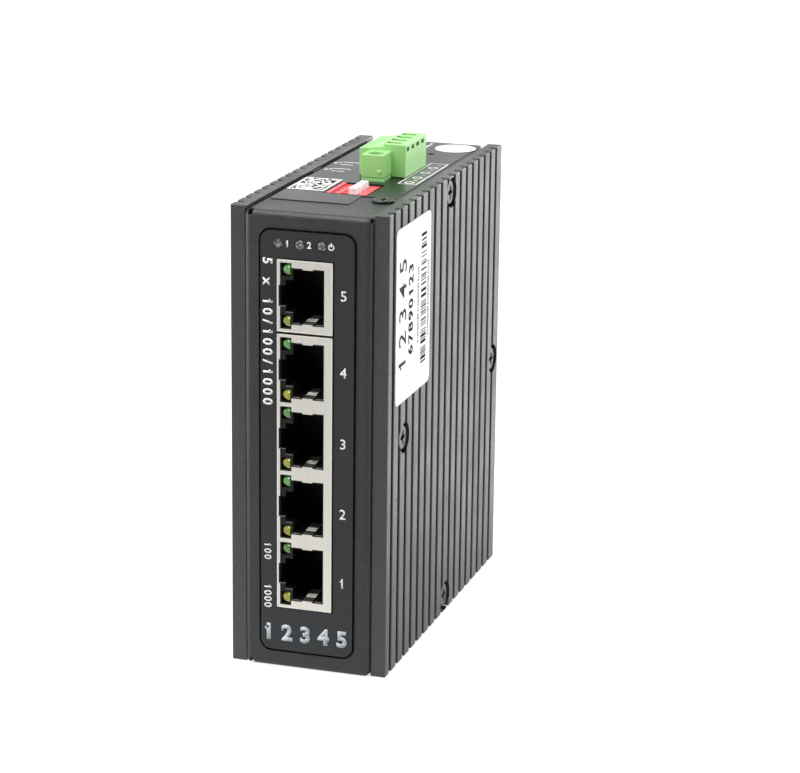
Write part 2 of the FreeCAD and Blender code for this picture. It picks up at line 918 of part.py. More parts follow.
def build_wires(label, heights):
    """Eight sprung contact wires in each plug bay."""
    body = new_body(label)
    deep = moulding_front + size("bay_depth")
    start = moulding_front + size("wire_front")
    floor = size("bay_right")
    crest = floor - size("wire_rise")
    thick = size("wire_width")
    wire_end = (crest, deep - thick)
    lane = outline((floor - thick, start), (floor, start), (floor, deep), (crest, deep), wire_end)
    for height in heights:
        low = height - size("wire_pitch") * ((WIRES - 1) / 2) - thick / 2
        wire = add(body, "XY_Plane", low, low + thick, lane)
        repeat(body, [wire], "Z_Axis", size("wire_pitch"), WIRES)


def build_lamps(label, side):
    """Port lamps, one per port, on one side of the latch channel."""
    body = new_body(label)
    lens_front = can_front + size("lamp_sunk")
    lenses = [lamp_block(height, side) for height in port_heights]
    add(body, "XZ_Plane", lens_front, moulding_front + size("lamp_depth"), *lenses)
    chamfer_edges(body, size("lamp_edge"), lambda edge: flat_at(edge, "y", lens_front))


def build_lights():
    """Three light pipes from the board's side to the front film."""
    body = new_body("indicator_lights")
    radius = size("light_radius")
    pipes = [disc(across, light_height, radius) for across in light_places]
    tail = from_front(size("board_front")) + size("light_reach")
    add(body, "XZ_Plane", front - size("film") / 2, tail, *pipes)
    carrier = block(light_places[0] - radius, board_left, light_height - radius, light_height + radius)
    add(body, "XZ_Plane", tail - size("light_bar"), tail + size("light_bar"), carrier)


def build_board():
    """Main circuit board, upright beside the sockets."""
    body = new_body("main_board")
    ends = (from_front(size("board_front")), board_rear)
    board_shape = block(*ends, size("board_low"), top - size("board_high"))
    add(body, "YZ_Plane", board_left, board_right, board_shape)
    holes = [disc(across, up, clear_radius) for across, up in POSTS]
    foot = socket_low - size("pin_below")
    reach = size("pin_side") / 2 + size("pin_slack")
    slots = [block(way - reach, way + reach, foot - reach, foot + reach) for way in way_places]
    cut(body, "YZ_Plane", board_left - MARGIN, board_right + MARGIN, *holes, *slots)


def hexagon(across, up, flat):
    """Six-sided outline about a point, flat being half its width."""
    tip = flat * HEX_CORNER
    return outline(
        (across + tip, up),
        (across + tip / 2, up + flat),
        (across - tip / 2, up + flat),
        (across - tip, up),
        (across - tip / 2, up - flat),
        (across + tip / 2, up - flat),
    )


def build_posts():
    """Threaded posts between the right panel and the board, and their screws."""
    posts = new_body("board_posts")
    sides = [hexagon(across, up, size("post_flat")) for across, up in POSTS]
    add(posts, "YZ_Plane", board_right, panel_inner, *sides)
    taps = [disc(across, up, tap_radius) for across, up in POSTS]
    cut(posts, "YZ_Plane", board_right - MARGIN, board_right + size("post_tap"), *taps)
    screws = new_body("board_screws")
    head = board_left - size("head_height")
    heads = [disc(across, up, size("head_radius")) for across, up in POSTS]
    shanks = [disc(across, up, shank_radius) for across, up in POSTS]
    add(screws, "YZ_Plane", head, board_left, *heads)
    add(screws, "YZ_Plane", board_left, board_right + size("board_screw"), *shanks)


def square_about(across, up, half_side):
    """Square outline about a point."""
    return block(across - half_side, across + half_side, up - half_side, up + half_side)


def build_electronics():
    """Switching chip with its pad to the panel, and the power parts."""
    chip = new_body("switch_chip")
    across = from_front(size("chip_y"))
    up = rail_middle + size("chip_rise")
    reach = size("chip_side") / 2
    chip_face = board_right + size("chip_thick")
    add(chip, "YZ_Plane", board_right, chip_face, square_about(across, up, reach))
    pad = new_body("thermal_pad")
    add(pad, "YZ_Plane", chip_face, panel_inner, square_about(across, up, reach - size("pad_inset")))
    caps = new_body("capacitors")
    behind = rear - size("cap_rear")
    lying = [disc(behind, size("cap_low") + size("cap_pitch") * step, size("cap_radius")) for step in (0, 1)]
    add(caps, "YZ_Plane", board_left - size("cap_length"), board_left, *lying)
    coil = new_body("power_coil")
    reach = size("coil_side") / 2
    square = square_about(behind, size("coil_low") + reach, reach)
    add(coil, "YZ_Plane", board_left - size("coil_tall"), board_left, square)
    round_edges(coil, size("coil_round"), lambda edge: along(edge, "x"))


def build_slide_switch():
    """Red setting switch with four channels, and its four levers."""
    body = new_body("setting_switch")
    shell = block(-size("slide_left"), board_left, slide_low_y, slide_high_y)
    add(body, "XY_Plane", top - size("slide_tall"), slide_top, shell)
    play = size("lever_play")
    reach = size("lever_long") / 2
    wide = size("lever_wide") / 2
    across = size("lever_x")
    start = across - reach - size("lever_travel") - play
    channels = [
        block(start, across + reach + play, place - wide - play, place + wide + play)
        for place in lever_places
    ]
    floor = slide_top - size("lever_root")
    cut(body, "XY_Plane", floor - play, slide_top + MARGIN, *channels)
    crown = slide_top + size("lever_tall")
    for number, place in enumerate(lever_places, start=1):
        lever = new_body(f"setting_lever_{number}")
        stem = block(across - reach, across + reach, place - wide, place + wide)
        add(lever, "XY_Plane", floor, crown, stem)
        chamfer_edges(lever, size("lever_edge"), lambda edge: flat_at(edge, "z", crown))


def build_socket():
    """Open-topped pin socket for the power plug, and its bent pins."""
    body = new_body("power_socket")
    neck = top - wall - size("socket_slack")
    add(body, "XY_Plane", socket_low, neck, block(ear_left, board_left, ear_front, ear_rear))
    add(body, "XY_Plane", neck, socket_rim, block(ear_left, ear_right, ear_front, ear_rear))
    shell = size("socket_wall")
    slack = size("socket_slack")
    bay = block(
        nose_left - slack,
        nose_right + slack,
        plug_front + size("nose_wall") - slack,
        plug_rear - size("nose_wall") + slack,
    )
    cut(body, "XY_Plane", socket_low + shell, socket_rim + MARGIN, bay)
    taps = [disc(lock_x, place, size("lock_radius") + size("lock_slack")) for place in LOCKS]
    cut(body, "XY_Plane", top - size("lock_reach") - MARGIN, socket_rim + MARGIN, *taps)
    pin = size("pin_side") / 2
    across = size("pin_x")
    holes = [square_about(across, way, pin) for way in way_places]
    cut(body, "XY_Plane", socket_low - MARGIN, socket_low + shell + MARGIN, *holes)
    pins = new_body("socket_pins")
    foot = socket_low - size("pin_below")
    tail = board_right + size("pin_tail")
    crown = socket_low + size("pin_up")
    bent = outline(
        (across - pin, foot - pin),
        (tail, foot - pin),
        (tail, foot + pin),
        (across + pin, foot + pin),
        (across + pin, crown),
        (across - pin, crown),
    )
    first = add(pins, "XZ_Plane", way_places[0] - pin, way_places[0] + pin, bent)
    repeat(pins, [first], "Y_Axis", size("way_pitch"), WAYS)


def build_plug():
    """Green screw plug: stepped body, ears, nose, wire entries, peepholes and driver wells."""
    body = new_body("power_plug")
    left = -size("plug_left")
    right = size("plug_right")
    ridge = size("plug_flat")
    slack = size("pin_slack")
    profile = outline(
        (left, skirt_low),
        (right, skirt_low),
        (right, plug_top),
        (ridge, plug_top),
        (ridge, plug_top - size("plug_ridge")),
        (left, plug_top - size("plug_slope")),
    )
    add(body, "XZ_Plane", plug_front, plug_rear, profile)
    rim = block(ear_left - slack, ear_right + slack, skirt_low - MARGIN, plug_low)
    cut(body, "XZ_Plane", plug_front - MARGIN, plug_rear + MARGIN, rim)
    spans = [(ear_front, plug_front), (plug_rear, ear_rear)]
    ears = [block(ear_left, ear_right, *span) for span in spans]
    add(body, "XY_Plane", plug_low, ear_top, *ears)
    nose_low = plug_low - size("nose_depth")
    nose = block(nose_left, nose_right, plug_front + size("nose_wall"), plug_rear - size("nose_wall"))
    add(body, "XY_Plane", nose_low, plug_low, nose)
    entry = size("entry_wide") / 2
    entries = [block(size("entry_left"), size("entry_right"), way - entry, way + entry) for way in way_places]
    cut(body, "XY_Plane", plug_top - size("entry_deep"), plug_top + MARGIN, *entries)
    peep = size("peep_wide") / 2
    high = plug_top - size("peep_down")
    peep_places = [way - size("peep_shift") for way in way_places]
    peeps = [block(place - peep, place + peep, high - size("peep_tall"), high) for place in peep_places]
    cut(body, "YZ_Plane", right - size("peep_deep"), right + MARGIN, *peeps)
    driver = plug_top - size("driver_down")
    wells = [disc(way, driver, size("driver_radius")) for way in way_places]
    cut(body, "YZ_Plane", left - MARGIN, left + size("driver_deep"), *wells)
    shafts = [disc(lock_x, place, size("lock_radius") + size("driver_slack")) for place in LOCKS]
    cut(body, "XY_Plane", plug_low - MARGIN, ear_top + MARGIN, *shafts)
    sinks = [disc(lock_x, place, size("lock_head") + size("driver_slack")) for place in LOCKS]
    head_top = ear_top - size("lock_sunk")
    head_low = head_top - size("lock_thick")
    cut(body, "XY_Plane", head_low, ear_top + MARGIN, *sinks)
    reach = size("pin_side") / 2 + slack
    slots = [square_about(size("pin_x"), way, reach) for way in way_places]
    cut(body, "XY_Plane", nose_low - MARGIN, socket_low + size("pin_up") + slack, *slots)
    build_plug_screws(left + size("driver_deep"), driver, head_low, head_top)


def build_plug_screws(seat, driver, head_low, head_top):
    """Slotted clamp screws in the plug's wells, and the two screws that lock the plug."""
    clamps = new_body("clamp_screws")
    radius = size("driver_radius") - size("driver_slack")
    heads = [disc(way, driver, radius) for way in way_places]
    head = seat - size("driver_head")
    add(clamps, "YZ_Plane", head, seat, *heads)
    slot = size("slot_wide") / 2
    reach = radius + MARGIN
    grooves = [block(way - reach, way + reach, driver - slot, driver + slot) for way in way_places]
    cut(clamps, "YZ_Plane", head - MARGIN, head + size("slot_deep"), *grooves)
    locks = new_body("lock_screws")
    caps = [disc(lock_x, place, size("lock_head")) for place in LOCKS]
    shanks = [disc(lock_x, place, size("lock_radius")) for place in LOCKS]
    add(locks, "XY_Plane", head_low, head_top, *caps)
    add(locks, "XY_Plane", top - size("lock_reach"), head_low, *shanks)
    reach = size("lock_head") + MARGIN
    grooves = [block(lock_x - reach, lock_x + reach, place - slot, place + slot) for place in LOCKS]
    cut(locks, "XY_Plane", head_top - size("slot_deep"), head_top + MARGIN, *grooves)


def build_earth_screw():
    """Low-headed earth screw in the top."""
    body = new_body("earth_screw")
    crown = top + size("earth_head")
    add(body, "XY_Plane", top, crown, disc(earth_x, earth_y, size("earth_radius")))
    add(body, "XY_Plane", top - size("earth_shank"), top, disc(earth_x, earth_y, shank_radius))
    cut(body, "XY_Plane", crown - size("cross_cut"), crown + MARGIN, plus_mark(earth_x, earth_y))


def build_bracket():
    """Clip bracket on the back: hook over the rail, guides and a tab for the spring."""
    body = new_body("rail_bracket")
    broad = size("clip_half")
    thick = size("clip_sheet")
    lip_low = hook_low - size("hook_lip")
    profile = outline(
        (rear, clip_low),
        (clip_face, clip_low),
        (clip_face, hook_low),
        (lip_face, hook_low),
        (lip_face, lip_low),
        (lip_face + thick, lip_low),
        (lip_face + thick, hook_low + thick),
        (rear, hook_low + thick),
    )
    add(body, "YZ_Plane", -broad, broad, profile)
    ridge = hook_low + thick

    def hook_back(edge):
        box = edge.BoundBox
        return along(edge, "x") and near(box.ZMin, ridge) and near(box.YMax, lip_face + thick)

    round_edges(body, thick / 2, hook_back)
    inner = size("latch_half_width") + slip
    outer = inner + thick
    cover = clip_face + thick + slip * 2
    lap = inner - size("guide_cover")
    right_guide = outline(
        (inner, clip_face),
        (outer, clip_face),
        (outer, cover + thick),
        (lap, cover + thick),
        (lap, cover),
        (inner, cover),
    )
    left_guide = outline(
        (-inner, clip_face),
        (-inner, cover),
        (-lap, cover),
        (-lap, cover + thick),
        (-outer, cover + thick),
        (-outer, clip_face),
    )
    guide_top = latch_top - thick - size("latch_travel") - size("rail_play")
    add(body, "XY_Plane", clip_low, guide_top, right_guide, left_guide)
    reach = size("spring_half")
    add(body, "XY_Plane", spring_low - thick, spring_low, block(-reach, reach, clip_face, cover))
    holes = [disc(across, up, clear_radius) for across, up in CLIP_SCREWS]
    cut(body, "XZ_Plane", rear - MARGIN, clip_face + MARGIN, *holes)


def build_latch():
    """Sliding latch under the rail, its flat spring, and the bracket's screws."""
    latch = new_body("rail_latch")
    thick = size("clip_sheet")
    back = clip_face + slip
    tail = clip_low - size("latch_tail")
    lip_top = latch_top + size("latch_lip")
    profile = outline(
        (back, tail),
        (back + thick, tail),
        (back + thick, latch_top - thick),
        (lip_face + thick, latch_top - thick),
        (lip_face + thick, lip_top),
        (lip_face, lip_top),
        (lip_face, latch_top),
        (back, latch_top),
    )
    broad = size("latch_half_width")
    add(latch, "YZ_Plane", -broad, broad, profile)
    reach = size("spring_half") + size("rail_play")
    window = block(-reach, reach, spring_low - thick - size("rail_play"), spring_high)
    grip = block(-reach, reach, tail + thick, tail + thick * 3)
    cut(latch, "XZ_Plane", clip_face, lip_face + thick, window, grip)
    spring = new_body("latch_spring")
    strip = size("spring_strip")
    pitch = size("spring_pitch")
    broad = size("spring_half")
    runs = [spring_low + pitch * step for step in range(SPRING_BARS)]
    bars = [block(-broad, broad, low, low + strip) for low in runs]
    add(spring, "XZ_Plane", back, back + size("spring_thick"), *bars)
    links = []
    for step, low in enumerate(runs[:-1]):
        side = 1 if step % 2 else -1
        ends = mirrored(side, broad - strip, broad)
        links.append(block(*ends, low + strip, low + pitch))
    add(spring, "XZ_Plane", back, back + size("spring_thick"), *links)
    screws = new_body("bracket_screws")
    crown = clip_face + size("head_height")
    heads = [disc(across, up, size("head_radius")) for across, up in CLIP_SCREWS]
    shanks = [disc(across, up, shank_radius) for across, up in CLIP_SCREWS]
    add(screws, "XZ_Plane", clip_face, crown, *heads)
    add(screws, "XZ_Plane", rear - size("bracket_screw"), clip_face, *shanks)
    marks = [plus_mark(across, up) for across, up in CLIP_SCREWS]
    cut(screws, "XZ_Plane", crown - size("cross_cut"), crown + MARGIN, *marks)


build_case()
build_rear()
build_panel("right_panel", 1)
build_panel("left_panel", -1)
build_panel_screws("right_panel_screws", 1)
build_panel_screws("left_panel_screws", -1)
build_front_film()
build_top_film()
build_stickers()
build_can("single_socket_can", single_low, single_high, [port_top])
build_can("gang_socket_can", gang_low, gang_high, gang_heights)
build_moulding("single_socket_moulding", single_low, single_high, [port_top])
build_moulding("gang_socket_moulding", gang_low, gang_high, gang_heights)
build_wires("single_socket_contacts", [port_top])
build_wires("gang_socket_contacts", gang_heights)
build_lamps("upper_port_lamps", 1)
build_lamps("lower_port_lamps", -1)
build_lights()
build_board()
build_posts()
build_electronics()
build_slide_switch()
build_socket()
build_plug()
build_earth_screw()
build_bracket()
build_latch()

doc.recompute()
for item in doc.Objects:
    if "Invalid" in item.State or "Error" in item.State:
        raise RuntimeError(f"{item.Label} failed: {item.State}")
os.makedirs("parts", exist_ok=True)
for piece in pieces:
    shape = piece.Shape
    if shape.isNull() or not shape.isValid():
        raise RuntimeError(f"{piece.Label} has no valid shape")
for piece in pieces:
    piece.Shape.exportStep(f"parts/{piece.Label}.step")
print(len(pieces), "pieces written")
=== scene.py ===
"""Rail-mounted five-port network switch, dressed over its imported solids."""

import logging
import math
import random
from dataclasses import dataclass, field
from enum import Enum

import bmesh
import bpy
from mathutils import Matrix, Vector

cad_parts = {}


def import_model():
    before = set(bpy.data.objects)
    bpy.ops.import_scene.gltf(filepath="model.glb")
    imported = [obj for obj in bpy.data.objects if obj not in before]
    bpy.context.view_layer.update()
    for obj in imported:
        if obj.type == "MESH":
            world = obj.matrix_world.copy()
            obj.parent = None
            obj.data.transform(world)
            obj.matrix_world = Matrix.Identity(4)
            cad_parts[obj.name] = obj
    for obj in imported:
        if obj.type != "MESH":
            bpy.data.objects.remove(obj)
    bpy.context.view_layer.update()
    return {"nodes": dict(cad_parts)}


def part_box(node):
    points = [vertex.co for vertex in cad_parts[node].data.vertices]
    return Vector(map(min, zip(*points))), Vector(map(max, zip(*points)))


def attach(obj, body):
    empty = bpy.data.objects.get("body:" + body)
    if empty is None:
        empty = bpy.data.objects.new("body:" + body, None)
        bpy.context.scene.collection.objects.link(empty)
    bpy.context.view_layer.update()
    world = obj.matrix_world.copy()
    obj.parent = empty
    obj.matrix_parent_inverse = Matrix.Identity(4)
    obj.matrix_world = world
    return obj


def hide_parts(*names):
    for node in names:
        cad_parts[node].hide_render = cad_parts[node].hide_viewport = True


Shape = bmesh.types.BMesh
Piece = bpy.types.Object
Tree = bpy.types.NodeTree
Socket = bpy.types.NodeSocket

LOG = logging.getLogger("network_switch")
MM = 0.001
ROOT = "switch_body"
PLUG = "plug"
LATCH = "latch"
# thickness of printed marks, and how far they stand off what carries them
INK = 0.01
OFF = 0.012
# width of the setting switch's lip, which the painted gap shade on the top film goes round
SLIDE_LIP = 0.8
# half the height that one port takes of its can
PORT_HALF = 8.2
# a capital's share of a letter's size
CAPITAL = 0.7
# turn in degrees from which an edge looks sharp, and from which it is rounded
SHARP_TURN = 32
ROUNDED_TURN = 40
# roughness of every clear coat
COAT_ROUGHNESS = 0.08


class Side(Enum):
    """Which way a flat mark faces."""

    FRONT = "front"
    TOP = "top"
    RIGHT = "right"

    def turn(self) -> Matrix:
        """Find how a flat mark is turned to lie on this side.

        Returns:
            The rotation, with the mark readable from outside.
        """
        quarter = math.radians(90)
        if self is Side.FRONT:
            return Matrix.Rotation(quarter, 4, "X")
        if self is Side.RIGHT:
            return Matrix.Rotation(quarter, 4, "Z") @ Matrix.Rotation(quarter, 4, "X")
        return Matrix.Identity(4)


class Grain(Enum):
    """How the small variation of a finish is laid."""

    EVEN = (1.0, 1.0, 1.0)
    ALONG_Z = (1.0, 1.0, 0.03)


@dataclass(frozen=True)
class Extent:
    """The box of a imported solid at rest, in millimetres."""

    low: Vector
    high: Vector

    @classmethod
    def of(cls, node: str) -> "Extent":
        """Read the box of a solid from the frame."""
        low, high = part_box(node)
        return cls(low / MM, high / MM)

    def middle(self) -> Vector:
        """The middle of the box."""
        return (self.low + self.high) / 2


def millimetres(x: float, y: float, z: float) -> Vector:
    """A point in metres from millimetres."""
    return Vector((x, y, z)) * MM


def feed(tree: Tree, node: bpy.types.Node, inputs: dict) -> None:
    """Link or set the inputs of a node.

    Args:
        tree: the node's tree.
        node: the node.
        inputs: for each input, the socket that feeds it or its fixed value.
    """
    for key, value in inputs.items():
        if isinstance(value, Socket):
            tree.links.new(value, node.inputs[key])
        else:
            node.inputs[key].default_value = value


def add_node(tree: Tree, kind: str, inputs: dict | None = None, **options: object) -> bpy.types.Node:
    """Add a shader node.

    Args:
        tree: the tree to add to.
        kind: its type, after the word ShaderNode.
        inputs: for each input, the socket that feeds it or its fixed value.
        options: its other settings.

    Returns:
        The node.
    """
    node = tree.nodes.new(f"ShaderNode{kind}")
    for name, value in options.items():
        setattr(node, name, value)
    feed(tree, node, inputs or {})
    return node


def add_math(tree: Tree, operation: str, *terms: object) -> Socket:
    """Add a calculation on sockets and numbers, and return its socket."""
    return add_node(tree, "Math", dict(enumerate(terms)), operation=operation).outputs[0]


def add_ramp(tree: Tree, value: Socket, given: tuple, wanted: tuple = (0, 1), **options: object) -> Socket:
    """Add a node that maps one span of values to another.

    Args:
        tree: the tree to add to.
        value: the socket of the value.
        given: the span it comes in.
        wanted: the span it goes out in.
        options: the node's other settings.

    Returns:
        The socket of the mapped value.
    """
    ends = {"From Min": given[0], "From Max": given[1], "To Min": wanted[0], "To Max": wanted[1]}
    return add_node(tree, "MapRange", {"Value": value, **ends}, **options).outputs["Result"]


def build_grain_group() -> Tree:
    """Shared effect: small flecks, soft clouding and a height for the bump.

    Returns:
        The node group, whose outputs feed colour, roughness and height.
    """
    group = bpy.data.node_groups.new("fleck_and_cloud", "ShaderNodeTree")
    for name, kind, value in (
        ("Colour", "Color", (0.5, 0.5, 0.5, 1)),
        ("Fleck Colour", "Color", (1, 1, 1, 1)),
        ("Fleck Size", "Float", 3000.0),
        ("Fleck Amount", "Float", 0.3),
        ("Cloud Amount", "Float", 0.1),
        ("Roughness", "Float", 0.5),
        ("Roughness Spread", "Float", 0.1),
        ("Grain", "Vector", (1, 1, 1)),
    ):
        socket = group.interface.new_socket(name, in_out="INPUT", socket_type=f"NodeSocket{kind}")
        socket.default_value = value
    for name, kind in (("Colour", "Color"), ("Roughness", "Float"), ("Height", "Float")):
        group.interface.new_socket(name, in_out="OUTPUT", socket_type=f"NodeSocket{kind}")
    given = group.nodes.new("NodeGroupInput").outputs
    place = add_node(group, "TexCoord").outputs["Object"]
    along = add_node(group, "VectorMath", {0: place, 1: given["Grain"]}, operation="MULTIPLY").outputs[0]
    fine = {"Vector": along, "Scale": given["Fleck Size"], "Detail": 3.0, "Roughness": 0.65}
    fleck = add_node(group, "TexNoise", fine).outputs["Fac"]
    cloud = add_node(group, "TexNoise", {"Vector": along, "Scale": 90.0, "Detail": 4.0}).outputs["Fac"]
    amount = add_math(group, "MULTIPLY", add_ramp(group, fleck, (0.55, 0.78)), given["Fleck Amount"])
    colours = {"Factor": amount, "A": given["Colour"], "B": given["Fleck Colour"]}
    flecked = add_node(group, "Mix", colours, data_type="RGBA").outputs["Result"]
    shade = add_ramp(group, cloud, (0.3, 0.7), (-1.0, 1.0))
    swing = add_math(group, "MULTIPLY_ADD", shade, given["Cloud Amount"], 1.0)
    tinted = add_node(group, "VectorMath", {0: flecked, "Scale": swing}, operation="SCALE").outputs[0]
    rough = add_math(group, "MULTIPLY_ADD", shade, given["Roughness Spread"], given["Roughness"])
    result = group.nodes.new("NodeGroupOutput")
    feed(group, result, {"Colour": tinted, "Roughness": rough, "Height": fleck})
    return group


@dataclass(frozen=True)
class Finish:
    """One surface finish, built once as a material."""

    name: str
    slot: str
    colour: tuple[float, float, float]
    roughness: float
    fleck: tuple[float, float, float] = (0.5, 0.5, 0.5)
    fleck_size: float = 3000.0
    fleck_amount: float = 0.1
    cloud: float = 0.06
    spread: float = 0.05
    bump: float = 0.1
    metallic: float = 0.0
    coat: float = 0.0
    specular: float = 0.5
    craze: float = 0.0
    relief: float = 0.06
    grain: Grain = Grain.EVEN

    def material(self, grain_group: Tree) -> bpy.types.Material:
        """Build the material.

        Args:
            grain_group: the shared fleck and cloud effect.

        Returns:
            The finished material.
        """
        made = bpy.data.materials.new(self.name)
        made.use_nodes = True
        tree = made.node_tree
        values = {
            "Colour": (*self.colour, 1),
            "Fleck Colour": (*self.fleck, 1),
            "Fleck Size": self.fleck_size,
            "Fleck Amount": self.fleck_amount,
            "Cloud Amount": self.cloud,
            "Roughness": self.roughness,
            "Roughness Spread": self.spread,
            "Grain": self.grain.value,
        }
        effect = add_node(tree, "Group", values, node_tree=grain_group).outputs
        colour = effect["Colour"]
        raised = {"Strength": self.bump, "Distance": self.relief * MM, "Height": effect["Height"]}
        surface = {
            "Metallic": self.metallic,
            "Coat Weight": self.coat,
            "Coat Roughness": COAT_ROUGHNESS,
            "Specular IOR Level": self.specular,
            "Base Color": self._crazed(tree, colour) if self.craze else colour,
            "Roughness": effect["Roughness"],
            "Normal": add_node(tree, "Bump", raised).outputs["Normal"],
        }
        feed(tree, tree.nodes["Principled BSDF"], surface)
        return made

    def _crazed(self, tree: Tree, colour: Socket) -> Socket:
        """Cross the colour with dark lines between facets.

        Args:
            tree: the material's node tree.
            colour: the socket that gives its colour.

        Returns:
            The socket of the crossed colour.
        """
        place = {"Vector": add_node(tree, "TexCoord").outputs["Object"], "Scale": self.craze}
        facets = add_node(tree, "TexVoronoi", place, feature="DISTANCE_TO_EDGE")
        line = add_ramp(tree, facets.outputs["Distance"], (0.04, 0.16))
        colours = {"Factor": line, "A": (0.03, 0.03, 0.03, 1), "B": colour}
        return add_node(tree, "Mix", colours, data_type="RGBA").outputs["Result"]


CASE = Finish(
    "powder_coat", "case_paint", (0.012, 0.015, 0.016), 0.37, (0.11, 0.12, 0.12), 3000, 0.5, 0.05, 0.06, 1.0,
    specular=0.62, relief=0.12,
)
PANEL = Finish(
    "panel_coat", "panel_paint", (0.009, 0.011, 0.011), 0.34, (0.08, 0.09, 0.085), 2600, 0.6, 0.2, 0.10, 1.0,
    specular=1.0, relief=0.1,
)
FILM_INK = Finish(
    "film_black", "film", (0.012, 0.015, 0.017), 0.32, (0.04, 0.04, 0.04), 4000, 0.2, 0.04, 0.04, 0.12
)
# near-black and matt: painted shade for the gaps round the front film and the setting switch, and the dark
# spot on the top film
GAP_SHADE_AND_SPOT = Finish("gap_shade_and_spot", "film", (0.0015, 0.0018, 0.002), 0.9, bump=0.05, specular=0.0)
WHITE_INK = Finish("white_ink", "paper", (0.84, 0.85, 0.85), 0.5, bump=0.05)
PALE_INK = Finish(
    "pale_ink", "paper", (0.52, 0.56, 0.60), 0.5, (0.7, 0.72, 0.74), 1500, 0.5, 0.05, 0.05, 0.05
)
PAPER = Finish(
    "sticker_paper", "paper", (0.90, 0.90, 0.89), 0.5, (0.7, 0.7, 0.69), 2500, 0.15, 0.02, 0.04, 0.1,
    specular=0.2,
)
DARK_INK = Finish("dark_ink", "film", (0.008, 0.008, 0.008), 0.8, bump=0.05, specular=0.1)
GREY_INK = Finish("grey_ink", "film", (0.06, 0.06, 0.06), 0.8, bump=0.05, specular=0.1)
PINK_INK = Finish("pink_ink", "red_plastic", (0.45, 0.03, 0.06), 0.5, bump=0.05)
NICKEL = Finish(
    "nickel_can", "nickel", (0.78, 0.76, 0.69), 0.34, (0.64, 0.63, 0.57), 700, 0.4, 0.05, 0.06, 0.15, 1.0,
    grain=Grain.ALONG_Z,
)
# brighter nickel for painted highlights: the can rims and the lit bends of the spring tongues
NICKEL_HIGHLIGHT = Finish("nickel_highlight", "nickel", (0.86, 0.85, 0.80), 0.3, bump=0.1, metallic=0.6)
ZINC = Finish(
    "zinc_plate", "zinc", (0.48, 0.49, 0.50), 0.26, (0.32, 0.33, 0.33), 1800, 0.3, 0.08, 0.08, 0.2, 1.0
)
SCREW = Finish("panel_screw", "zinc", (0.055, 0.055, 0.06), 0.22, bump=0.3, metallic=1.0)
DARK_ZINC = Finish("dark_screw", "black_screw", (0.05, 0.05, 0.05), 0.25, bump=0.2, metallic=0.8)
BLACK_PLASTIC = Finish(
    "socket_black", "black_plastic", (0.004, 0.004, 0.004), 0.42, (0.02, 0.02, 0.02), 3500, 0.2, 0.05, 0.05,
    0.15, specular=0.3,
)
# grey, half-metallic plastic for the painted highlights on the mouldings' upper edges
EDGE_HIGHLIGHT_PLASTIC = Finish("edge_highlight_grey", "black_plastic", (0.16, 0.16, 0.165), 0.3, bump=0.1, metallic=0.4)
GOLD = Finish("gold_contact", "gold", (0.85, 0.60, 0.22), 0.25, bump=0.1, metallic=1.0)
GREEN_LAMP = Finish(
    "green_lamp", "green_lamp", (0.08, 0.25, 0.04), 0.10, (0.18, 0.42, 0.10), 900, 0.5, 0.35, 0.02, 0.1,
    coat=1.0,
)
YELLOW_LAMP = Finish(
    "yellow_lamp", "yellow_lamp", (0.30, 0.30, 0.01), 0.10, (0.5, 0.5, 0.1), 900, 0.5, 0.35, 0.02, 0.1,
    coat=1.0,
)
FROSTED = Finish(
    "frosted_light", "frosted", (0.25, 0.26, 0.26), 0.3, (0.45, 0.45, 0.45), 1500, 0.5, 0.1, 0.05, 0.4,
    craze=1000.0,
)
GREEN_PLASTIC = Finish(
    "green_plug", "green_plastic", (0.33, 0.68, 0.23), 0.34, (0.40, 0.74, 0.30), 1500, 0.2, 0.04, 0.05, 0.12
)
# dark green for the painted shade in the plug's windows and wire entries
SHADE = Finish("plug_shade", "green_plastic", (0.02, 0.06, 0.015), 0.5, bump=0.05, specular=0.2)
RED_PLASTIC = Finish(
    "red_switch", "red_plastic", (0.78, 0.10, 0.12), 0.36, (0.85, 0.2, 0.2), 1500, 0.2, 0.04, 0.05, 0.15
)
WHITE_PLASTIC = Finish(
    "white_lever", "white_plastic", (0.82, 0.80, 0.78), 0.38, (0.7, 0.68, 0.66), 1500, 0.2, 0.04, 0.05, 0.1
)
BOARD = Finish(
    "solder_mask", "board_green", (0.02, 0.16, 0.06), 0.35, (0.05, 0.25, 0.1), 700, 0.4, 0.05, 0.05, 0.2
)
PAD = Finish("thermal_pad", "grey_pad", (0.35, 0.37, 0.40), 0.8, bump=0.3)
CLIP = Finish(
    "clip_steel", "steel_clip", (0.40, 0.41, 0.42), 0.36, (0.30, 0.31, 0.32), 1200, 0.4, 0.08, 0.08, 0.2, 1.0,
    grain=Grain.ALONG_Z,
)
SPRING = Finish("spring_strip", "spring_steel", (0.60, 0.60, 0.62), 0.25, bump=0.1, metallic=1.0)


